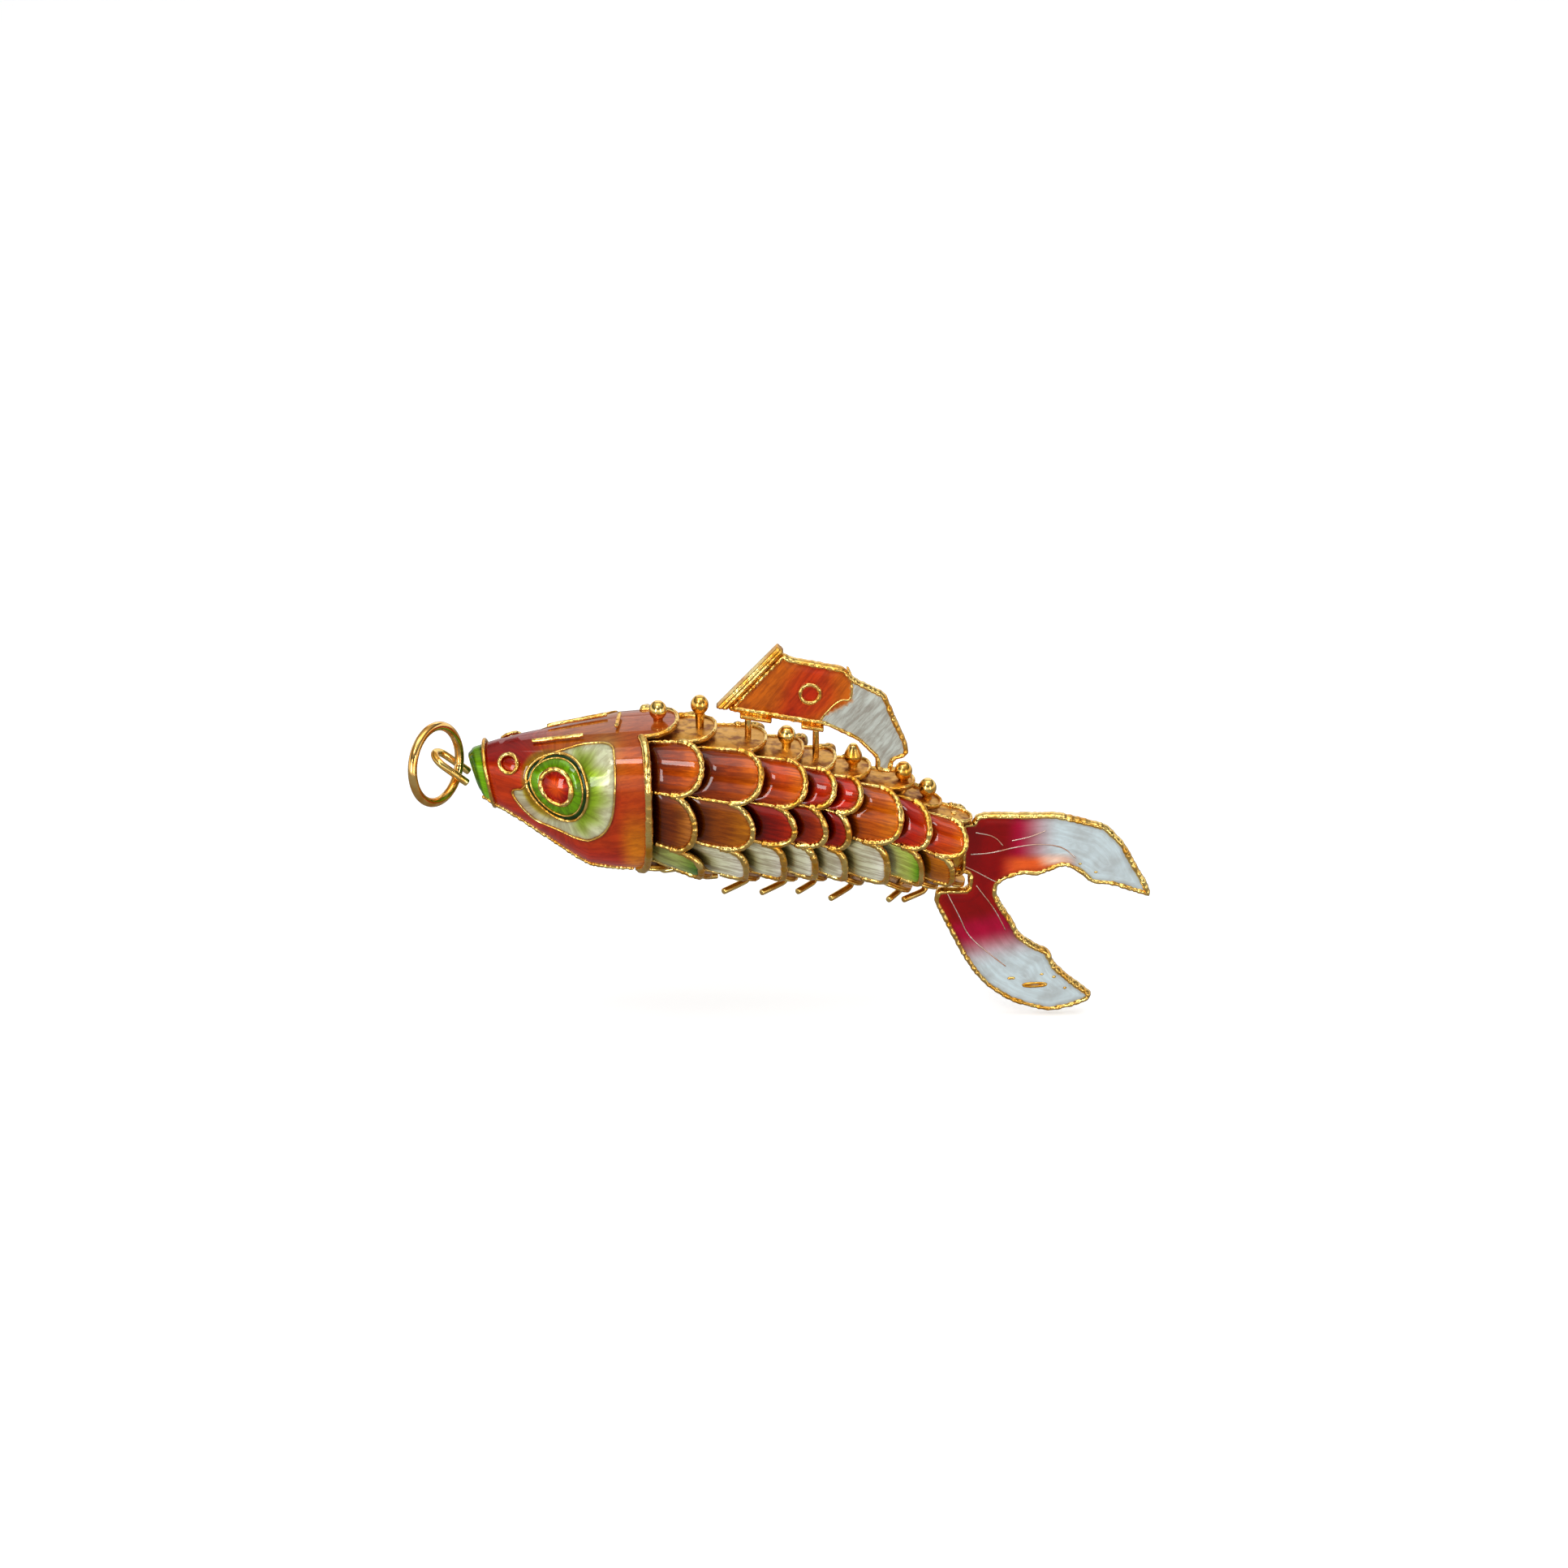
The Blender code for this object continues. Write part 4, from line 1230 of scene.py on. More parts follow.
@dataclass
class Head:
    """Hollow head: painted enamel, cheek patch, lips and the trim wires on it."""

    frame: dict[str, Any]
    wall: float = 0.28
    mouth_x: float = 3.65
    mouth_lean: float = 0.53
    gill_wire: float = 0.36
    tab_wire: float = 0.20
    chin_wire: float = 0.18
    cheek_wire: float = 0.085
    seam_wire: float = 0.17
    chin: float = math.radians(149)
    crown_edge: float = math.radians(26.5)
    eye_x: float = 11.1
    eye_angle: float = math.radians(69)
    nostril_x: float = 6.9
    nostril_angle: float = math.radians(52)
    cheek_girth: float = 5.5
    cheek_rise: float = 0.06
    nostril_rise: float = 0.10
    eye_seat: float = 0.10
    lip_sunk: float = 0.30
    gill_power: float = 2.6
    tab_power: float = 2.4
    levels: int = 90
    columns_in_row: int = 60
    shell: Shell = field(init=False)
    rims: list[RimRow] = field(init=False)

    CHEEK = ((15.9, 30), (16.15, 45), (16.2, 60), (16.1, 75), (15.9, 88), (15.5, 97), (15.0, 104),
             (14.0, 110), (12.7, 114), (11.5, 114.5), (10.4, 117), (9.2, 121), (8.2, 115),
             (7.5, 106), (7.1, 96), (7.3, 88), (8.2, 84), (9.6, 40), (12.4, 30), (13.6, 27))
    EYE_RINGS = ((2.72, -0.15), (2.70, 0.05), (2.58, 0.12), (2.42, 0.14), (2.30, 0.10),
                 (2.16, 0.16), (1.95, 0.24), (1.75, 0.27), (1.58, 0.25), (1.44, 0.24),
                 (1.30, 0.22), (1.15, 0.26), (0.85, 0.34), (0.50, 0.40), (0.20, 0.42))
    EYE_STEPS = 72

    def __post_init__(self) -> None:
        """Measure the head's surface and its rear edge."""
        self.shell = Shell(self.frame, "head_shell", 4.6, 18.6, round_nose=True)
        self.rims = rim_rows(self.shell, 16.5)
        LOG.info("head has %d stretches in its edge", len(self.rims))

    def edge_at(self, angle: np.ndarray) -> np.ndarray:
        """Rear edge of the head at any angle."""
        return read_round(angle, *self._columns())

    def _columns(self) -> tuple[np.ndarray, np.ndarray]:
        """Angles and rear ends of the columns round the head."""
        angles, rears = [], []
        for rim in self.rims:
            wide = rim.stop - rim.start
            steps = max(int(self.columns_in_row * wide / 2.2), 12)
            even = shares_across(steps)
            share = 0.5 * np.sin(math.pi / 2 * even) + 0.5 * even
            power = self.gill_power if wide > 1.5 else self.tab_power
            angles.append(rim.middle + share * wide / 2)
            rears.append(rim.rear(share, power))
        return np.concatenate(angles), np.concatenate(rears)

    def build(self, enamel: bpy.types.Material, gilt: bpy.types.Material,
              eye: bpy.types.Material) -> None:
        """Build and place the head's shell, its eyes and its wires.

        Args:
            enamel: finish of the shell.
            gilt: finish of the wires.
            eye: finish of the eyes.
        """
        angles, rears = self._columns()
        count = len(angles)
        front = self.mouth_x - self.mouth_lean * np.cos(angles)
        t = np.linspace(0, 1, self.levels)
        x = front + (rears - front) * t[:, None]
        wide = np.broadcast_to(angles, x.shape)
        sunk = self.lip_sunk * (1 - smooth(0, 0.5, x - front))
        lift = self._relief(x, wide) - sunk
        outer = self.shell.points(x, wide, lift)
        mouth = outer[0].mean(0) + np.array((-0.12, 0, 0))
        cap = [outer[0] * s + mouth * (1 - s) for s in (0.25, 0.6, 0.85)]
        inner_x = np.maximum(x[::-1][:60], 6.5)
        inner = self.shell.points(inner_x, np.broadcast_to(angles, inner_x.shape), -self.wall)
        rings = np.concatenate([np.array(cap), outer, inner])
        points = np.concatenate([[mouth], rings.reshape(-1, 3),
                                 [inner[-1].mean(0)]])
        total = len(rings)
        faces = [tuple(i + 1 for i in face) for face in ring_faces(total, count)]
        faces += [(0, 1 + (i + 1) % count, 1 + i) for i in range(count)]
        start, end = 1 + (total - 1) * count, len(points) - 1
        faces += [(end, start + i, start + (i + 1) % count) for i in range(count)]
        made = mesh_object("head_enamel", points, faces, enamel)
        self._dress(made, points, rings, x, wide, len(cap))
        settle(made, "head", "head_enamel", "head_shell")
        self._trim(gilt)
        for side in Side:
            self._eye(side, eye, gilt)

    def off(self, x: Any, angle: Any, centre: tuple[float, float]) -> Any:
        """Distance over the surface, in millimetres, from a place on the same side.

        Args:
            x: places along the head.
            angle: their unit angles.
            centre: x and unit angle of the place.

        Returns:
            The distances.
        """
        middle, tall, half = self.shell.at(np.asarray(x, float))
        reach = (folded(angle) - centre[1]) * (tall * 0.55 + half * 0.45)
        return np.hypot(np.asarray(x) - centre[0], reach)

    def cheek_edge(self) -> np.ndarray:
        """Closed outline of the cheek patch as x and angle."""
        outline = np.array([(x, math.radians(a)) for x, a in self.CHEEK])
        return rounded(outline, 3)

    def inside_cheek(self, x: np.ndarray, angle: np.ndarray) -> np.ndarray:
        """Signed depth of places inside the cheek patch, in millimetres.

        Args:
            x: places along the head.
            angle: their unit angles.

        Returns:
            The depth, below zero outside.
        """
        flat = np.array((1, self.cheek_girth))
        return depth_inside(self.cheek_edge() * flat, x, folded(angle) * self.cheek_girth)

    def _relief(self, x: np.ndarray, angle: np.ndarray) -> np.ndarray:
        """Height of the enamel above the measured surface."""
        eye = self.off(x, angle, (self.eye_x, self.eye_angle))
        nostril = self.off(x, angle, (self.nostril_x, self.nostril_angle))
        cheek = self.inside_cheek(x, angle)
        lift = self.cheek_rise * smooth(0.0, 0.5, cheek)
        lift += self.nostril_rise * (1 - smooth(0.2, 0.8, nostril))
        return lift - self.eye_seat * (1 - smooth(2.4, 2.9, eye))

    def _dress(self, made: bpy.types.Object, points: np.ndarray, rings: np.ndarray,
               x: np.ndarray, angle: np.ndarray, caps: int) -> None:
        """Paint the head's colours, with painted shade along its wires.

        Args:
            made: the shell.
            points: all its points.
            rings: its rings of points.
            x: x of every outer point.
            angle: unit angle of every outer point.
            caps: how many rings close the mouth.
        """
        fold = folded(angle)
        degrees = np.degrees(fold)
        cheek = self.inside_cheek(x, angle)
        eye = self.off(x, angle, (self.eye_x, self.eye_angle))
        crown = 1 - smooth(48, 76, degrees)
        gill = smooth(16.0, 17.8, x)
        spot = (np.exp(-((x - 15.2) / 0.9) ** 2) * np.exp(-((degrees - 34) / 12) ** 2))
        tint = np.asarray(ROSE)
        for colour, share in (
                (SAND, crown * smooth(8.5, 12, x)),
                (NOSE_RED, crown * (1 - smooth(7.5, 10.5, x))),
                (CORAL, smooth(45, 60, degrees) * (1 - smooth(7.5, 9.5, x))),
                (CHIN_RED, smooth(112, 128, degrees)),
                (GILL_AMBER, gill * smooth(70, 110, degrees) * 0.9),
                (GILL_ROSE, gill * (1 - smooth(60, 90, degrees)) * 0.6),
                (PALE_SPOT, crown * spot * 0.5)):
            tint = laid_over(tint, colour, share)
        ray = 0.5 + 0.5 * np.sin(np.arctan2(degrees - 69, (x - 11.1) * 12) * 16)
        lime = (1 - smooth(3.0, 4.6 + 0.8 * ray, eye)) * smooth(12.0, 13.4, x)
        ahead_of_eye = (1 - smooth(2.9, 3.4, eye)) * (1 - smooth(8.6, 10.5, x))
        pearl = laid_over(CHEEK_PEARL, CHEEK_MAUVE,
                          smooth(80, 112, degrees) * (1 - smooth(8.5, 11, x)) * 0.7)
        pearl = laid_over(laid_over(pearl, LIME, lime * 0.9), EYE_YELLOW, ahead_of_eye)
        tint = laid_over(tint, pearl, smooth(-0.05, 0.12, cheek))
        halo = (1 - smooth(2.8, 3.3, eye)) * (1 - smooth(9.5, 12, x))
        tint = laid_over(tint, HALO_YELLOW, halo * 0.8)
        lip_line = 4.98 - 0.55 * np.cos(fold)
        band = smooth(-0.2, 0.2, np.sin((x - lip_line) * 5.2 + 0.6))
        tint = laid_over(tint, laid_over(LIP_GREEN, LIP_DARK, band * 0.7),
                         1 - smooth(-0.10, 0.02, x - lip_line))
        metal = smooth(math.radians(146), math.radians(149), fold)
        # Painted shade along the cheek wire, round the eye and along the lip line, and a little
        # over the mouth's cap, together with the deeper glass by the wires.
        depth = 0.85 * np.exp(-(np.minimum(np.abs(cheek), 3) / 0.16) ** 2)
        depth = np.maximum(depth, 0.7 * np.exp(-((eye - 2.85) / 0.2) ** 2))
        depth = np.maximum(depth, 0.6 * (1 - smooth(0.0, 0.25, np.abs(x - lip_line))))
        flow_turn = np.where(eye < 5.5, np.arctan2(fold - self.eye_angle,
                             (x - self.eye_x) / 5.0) * 3.2, fold * 5.5)
        flow = np.stack([flow_turn + 0.15 * x, x * 1.0 + eye * 0.4, np.full(x.shape, 2.0)], -1)
        filled = len(points)

        def spread(values: np.ndarray, rest: float | Colour, width: int = 0) -> np.ndarray:
            """Values of the outer points, with one value for all the others."""
            shape = (filled, width) if width else (filled,)
            out = np.empty(shape)
            out[:] = rest
            flat = values.reshape(-1, width) if width else values.ravel()
            start = 1 + caps * x.shape[1]
            out[start:start + len(flat)] = flat
            return out

        paint(made, "tint", spread(tint, MOUTH_GREEN, 3))
        paint(made, "metal", np.where(np.arange(filled) > 1 + (caps + x.shape[0]) * x.shape[1],
                                      1.0, spread(metal, 0.0)))
        paint(made, "depth", spread(depth, 0.2))
        paint(made, "flow", spread(flow, 0.0, 3))

    def _trim(self, gilt: bpy.types.Material) -> None:
        """Lay the gill rim, the cheek wires and the chin seams."""
        angles, rears = self._columns()
        radius = np.where(folded(angles) < self.crown_edge, self.tab_wire, self.gill_wire)
        radius = np.where(folded(angles) > self.chin, self.chin_wire, radius)
        path = self.shell.points(rears - radius * 0.8, angles, radius * 0.3)
        wires = [Wire(path, radius, closed=True, beads=0.10, bead_pitch=0.8, seed=3)]
        outline = self.cheek_edge()
        seam = np.linspace(4.4, 17.6, 40)
        for side in Side:
            path = self.shell.points(outline[:, 0], side.value * outline[:, 1], 0.06)
            wires.append(Wire(path, self.cheek_wire, closed=True, beads=0.10, seed=5))
            path = self.shell.points(seam, np.full(len(seam), side.value * self.chin), 0.05)
            wires.append(Wire(path, self.seam_wire, beads=0.35, bead_pitch=0.3,
                              seed=7 + side.value))
        made = wires_object("head_rims", wires, gilt)
        settle(made, "head", "gilt_metal")

    def _eye(self, side: Side, enamel: bpy.types.Material, gilt: bpy.types.Material) -> None:
        """Build one eye: green rings, three wires and an orange pupil.

        Args:
            side: which eye.
            enamel: finish of the glass.
            gilt: finish of the wires.
        """
        steps = self.EYE_STEPS
        turns = turned(steps)
        _, tall, half = self.shell.at(np.array([self.eye_x]))
        per_radian = float(tall[0] * 0.55 + half[0] * 0.45)

        def circle(radius: float, lift: float) -> np.ndarray:
            """Circle round the eye at a height above the cheek."""
            x = self.eye_x + radius * np.cos(turns)
            angle = side.value * (self.eye_angle + radius * np.sin(turns) / per_radian)
            return self.shell.points(x, angle, lift)

        rings = self.EYE_RINGS
        points = np.concatenate([circle(*ring) for ring in rings])
        middle = np.array([self.eye_x]), np.array([side.value * self.eye_angle])
        points = np.concatenate([points, self.shell.points(*middle, 0.43),
                                 self.shell.points(*middle, -0.2)])
        faces = ring_faces(len(rings), steps)
        last, top = (len(rings) - 1) * steps, len(rings) * steps
        faces += [(last + i, last + (i + 1) % steps, top) for i in range(steps)]
        faces += [((i + 1) % steps, i, top + 1) for i in range(steps)]
        node = f"eye_{side.word}"
        made = mesh_object(f"{node}_glass", points, faces, enamel)
        radii = np.concatenate([np.repeat([r for r, _ in rings], steps), [0.0, 2.7]])
        tint = np.where((radii > 2.3)[:, None], EYE_DARK, EYE_GREEN)
        pupil = laid_over(PUPIL, EMBER, smooth(0.2, 1.1, radii))
        tint = np.where((radii < 1.5)[:, None], pupil, tint)
        paint(made, "tint", tint)
        paint(made, "metal", np.zeros(len(points)))
        # Painted shade along the two inner wires of the eye.
        depth = np.exp(-((radii - 1.3) / 0.12) ** 2) + np.exp(-((radii - 2.3) / 0.1) ** 2)
        paint(made, "depth", np.clip(depth, 0, 1) * 0.8)
        where = np.concatenate([turns] * len(rings) + [[0, 0]])
        paint(made, "flow", np.stack([where * 1.6, radii * 2, np.full(len(points), 9.0)], -1))
        settle(made, "head", "eye_enamel", node)
        wires = [Wire(circle(2.70, 0.12), 0.13, closed=True, beads=0.10, seed=21),
                 Wire(circle(2.28, 0.16), 0.075, closed=True, beads=0.12, seed=22),
                 Wire(circle(1.34, 0.32), 0.22, closed=True, beads=0.28, bead_pitch=0.5,
                      seed=23)]
        rims = wires_object(f"{node}_rims", wires, gilt)
        settle(rims, "head", "gilt_metal")


# Fins


def flat_outline(frame: dict[str, Any], node: str) -> tuple[np.ndarray, float]:
    """Outline of a plate's largest flat face, and how far that face stands from the middle.

    Args:
        frame: the loaded frame.
        node: the plate's node.

    Returns:
        The outline as (x, z) points in millimetres, and the half thickness.
    """
    mesh = frame["nodes"][node].data
    points = np.array([v.co for v in mesh.vertices]) / MM
    groups: dict[float, list[tuple[int, ...]]] = {}
    areas: dict[float, float] = {}
    for face in mesh.polygons:
        if face.normal.y > 0.99:
            level = round(float(points[face.vertices[0]][1]), 2)
            groups.setdefault(level, []).append(tuple(face.vertices))
            areas[level] = areas.get(level, 0.0) + face.area
    level = max(areas, key=lambda key: areas[key])
    keys = [tuple(np.round(p[[0, 2]], 3)) for p in points]
    seen: dict[tuple[Any, Any], int] = {}
    for face in groups[level]:
        for a, b in zip(face, face[1:] + face[:1]):
            edge = (keys[a], keys[b])
            if (edge[1], edge[0]) in seen:
                del seen[(edge[1], edge[0])]
            else:
                seen[edge] = 1
    onward = {a: b for a, b in seen}
    loops = []
    while onward:
        start, here = next(iter(onward.items()))
        loop = [start]
        del onward[start]
        while here != start and here in onward:
            loop.append(here)
            here = onward.pop(here)
        loops.append(loop)
    return np.array(max(loops, key=len), float), level


@dataclass
class Plate:
    """Two-sided enamel plate inside a gilt border, cast as one fin."""

    outline: np.ndarray
    half: float
    border: float = 0.27
    grid: float = 0.30
    crown: float = 0.30

    def __post_init__(self) -> None:
        """Round the outline's corners."""
        self.edge = resampled(rounded(resampled(self.outline, 0.55, True), 2), 0.24, True)

    def depth_in(self, x: np.ndarray, z: np.ndarray) -> np.ndarray:
        """Signed distance of places inside the outline, in millimetres."""
        return depth_inside(self.edge, x, z)

    def height(self, depth: np.ndarray) -> np.ndarray:
        """Half thickness of the glass at a depth inside the outline."""
        return self.half * (0.52 + self.crown * smooth(0.1, 1.3, depth))

    def lift(self, x: np.ndarray, z: np.ndarray) -> np.ndarray:
        """Half thickness of the glass at a place."""
        return self.height(np.maximum(self.depth_in(x, z), 0))

    def build(self, name: str, enamel: bpy.types.Material) -> tuple[bpy.types.Object, Any]:
        """Build the glass of both faces.

        Args:
            name: object name.
            enamel: its finish.

        Returns:
            The object, and its points' (x, z, depth).
        """
        low, high = self.edge.min(0), self.edge.max(0)
        gx, gz = np.meshgrid(np.arange(low[0], high[0], self.grid),
                             np.arange(low[1], high[1], self.grid))
        gx = gx + (np.arange(gx.shape[0]) % 2)[:, None] * self.grid / 2
        gx, gz = gx.ravel(), gz.ravel()
        keep = self.depth_in(gx, gz) > self.grid * 0.6
        places = np.concatenate([self.edge, np.stack([gx[keep], gz[keep]], 1)])
        count = len(self.edge)
        result = delaunay_2d_cdt([Vector(p) for p in places], [],
                                 [list(range(count))], 1, 1e-6)
        flat = np.array([tuple(v) for v in result[0]])
        depth = np.maximum(self.depth_in(flat[:, 0], flat[:, 1]), 0)
        depth[:count] = 0
        up = self.height(depth)
        total = len(flat)
        front = np.stack([flat[:, 0], -up, flat[:, 1]], 1)
        back = np.stack([flat[:, 0], up, flat[:, 1]], 1)
        faces = [tuple(f) for f in result[2]]
        faces += [tuple(i + total for i in f)[::-1] for f in result[2]]
        faces += [(i, (i + 1) % count, (i + 1) % count + total, i + total)
                  for i in range(count)]
        made = mesh_object(name, np.concatenate([front, back]), faces, enamel)
        both = np.concatenate([flat, flat]), np.concatenate([depth, depth])
        return made, both

    def border_wire(self, seed: int) -> Wire:
        """Beaded border round the whole plate."""
        path = np.stack([self.edge[:, 0], np.zeros(len(self.edge)), self.edge[:, 1]], 1)
        tangent = np.roll(path, -1, 0) - np.roll(path, 1, 0)
        inward = np.stack([-tangent[:, 2], np.zeros(len(path)), tangent[:, 0]], 1)
        inward /= np.linalg.norm(inward, axis=1, keepdims=True)
        probe = path + inward * 0.05
        if self.depth_in(probe[:1, 0], probe[:1, 2])[0] < 0:
            inward = -inward
        return Wire(path + inward * self.border * 0.7, self.border, closed=True, beads=0.16,
                    flatten=self.half / self.border * 0.96, seed=seed, sides=12)

    def face_wires(self, line: Sequence[tuple[float, float]], radius: float, seed: int,
                   closed: bool = False) -> list[Wire]:
        """The same thin wire on both faces.

        Args:
            line: its (x, z) points.
            radius: its radius.
            seed: seed of its beads.
            closed: whether it is a ring.

        Returns:
            The two wires.
        """
        path = rounded(np.array(line, float), 2, closed)
        up = self.lift(path[:, 0], path[:, 1])
        return [Wire(np.stack([path[:, 0], side.value * up, path[:, 1]], 1), radius,
                     closed=closed, beads=0.12, seed=seed) for side in Side]


@dataclass
class TailFin:
    """Forked tail: red glass that pales to blue white, with thin dividing wires."""

    frame: dict[str, Any]
    line_wire: float = 0.055
    gold_wire: float = 0.13
    barrel: float = 0.93

    LINES = (((47.0, -9.85), (48.9, -9.70), (50.6, -9.2), (52.4, -8.85), (54.0, -8.85),
              (55.3, -9.20), (56.3, -10.2)),
             ((46.3, -10.95), (47.9, -11.7), (49.5, -12.7)),
             ((44.9, -13.4), (46.2, -16.0), (46.9, -17.8), (48.4, -19.3), (50.4, -21.0)),
             ((47.4, -7.7), (49.1, -8.0), (49.9, -9.0)),
             ((50.6, -8.5), (52.3, -8.1), (53.6, -7.5)),
             ((47.6, -12.9), (49.3, -15.3), (50.3, -17.4)))
    DOTS = ((50.9, -22.2, 0.34), (53.6, -21.8, 0.16), (54.7, -22.1, 0.18), (55.7, -23.2, 0.16),
            (56.7, -10.8, 0.15), (58.1, -11.6, 0.16))
    RED = srgb(150, 0, 6)
    ORANGE_EDGE = srgb(196, 52, 16)
    MAGENTA = srgb(178, 0, 84)
    BLUE_WHITE = srgb(206, 219, 225)
    PEACH = srgb(228, 116, 66)
    # Pale peach painted highlight on the right of the peach patch.
    PAINTED_PEACH_HIGHLIGHT = srgb(246, 226, 214)

    def build(self, enamel: bpy.types.Material, gilt: bpy.types.Material,
              thin: bpy.types.Material) -> None:
        """Build and place the tail.

        Args:
            enamel: finish of the glass.
            gilt: finish of the border.
            thin: finish of the dividing wires.
        """
        outline, half = flat_outline(self.frame, "tail_fin")
        plate = Plate(outline, half)
        made, (flat, depth) = plate.build("tail_glass", enamel)
        x, z = flat[:, 0], flat[:, 1]
        lower = smooth(-12.2, -13.6, z) * smooth(58.5, 56, x)
        along = np.where(lower > 0.5, (-z - 12.5) * 0.92 + (x - 46) * 0.25, (x - 46.5) * 0.95)
        white = np.where(lower > 0.5, smooth(5.0, 8.6, along), smooth(4.6, 8.4, along + 0.4))
        patch = (smooth(-9.6, -10.6, z) * smooth(49.3, 51.2, x) * smooth(56.8, 54.6, x)
                 * (1 - lower))
        tint = np.asarray(self.RED)
        # The last layer lays a pale peach painted highlight on the right of the peach patch.
        for colour, share in (
                (self.ORANGE_EDGE, smooth(0.9, 0.25, depth) * smooth(7, 4, along) * 0.7),
                (self.MAGENTA, smooth(3.0, 4.6, along)),
                (self.BLUE_WHITE, white),
                (self.PEACH, patch),
                (self.PAINTED_PEACH_HIGHLIGHT, patch * smooth(52.6, 54.4, x) * smooth(-11.4, -10.4, z))):
            tint = laid_over(tint, colour, share)
        paint(made, "tint", tint)
        paint(made, "metal", smooth(0.12, 0.05, depth))
        # Painted shade along the border wire.
        paint(made, "depth", 0.55 * smooth(0.7, 0.2, depth))
        paint(made, "flow", np.stack([depth * 0.9, along * 0.8, np.full(len(x), 4.0)], 1))
        settle(made, "tail_fin", "tail_enamel", "tail_fin")
        low, high = box_of("tail_rivet")
        middle = (low[0] + high[0]) / 2
        post = Wire(np.array([(middle, 0, low[2] + 1.0), (middle, 0, high[2] - 1.0)]),
                    self.barrel)
        edge = wires_object("tail_border", [plate.border_wire(31), post], gilt)
        settle(edge, "tail_fin", "gilt_metal")
        wires = [w for n, line in enumerate(self.LINES)
                 for w in plate.face_wires(line, self.line_wire, 40 + n)]
        lines = wires_object("tail_lines", wires, thin)
        settle(lines, "tail_fin", "gilt_metal")
        oval = [(53.0 + 1.05 * math.cos(t), -22.85 + 0.16 * math.sin(t) + 0.05 * math.cos(t))
                for t in turned(20)]
        marks = plate.face_wires(oval, self.gold_wire, 60, closed=True)
        for n, (dx, dz, size) in enumerate(self.DOTS):
            marks += plate.face_wires([(dx - size, dz), (dx + size, dz + 0.04)],
                                      self.gold_wire, 70 + n)
        dots = wires_object("tail_marks", marks, gilt)
        settle(dots, "tail_fin", "gilt_metal")


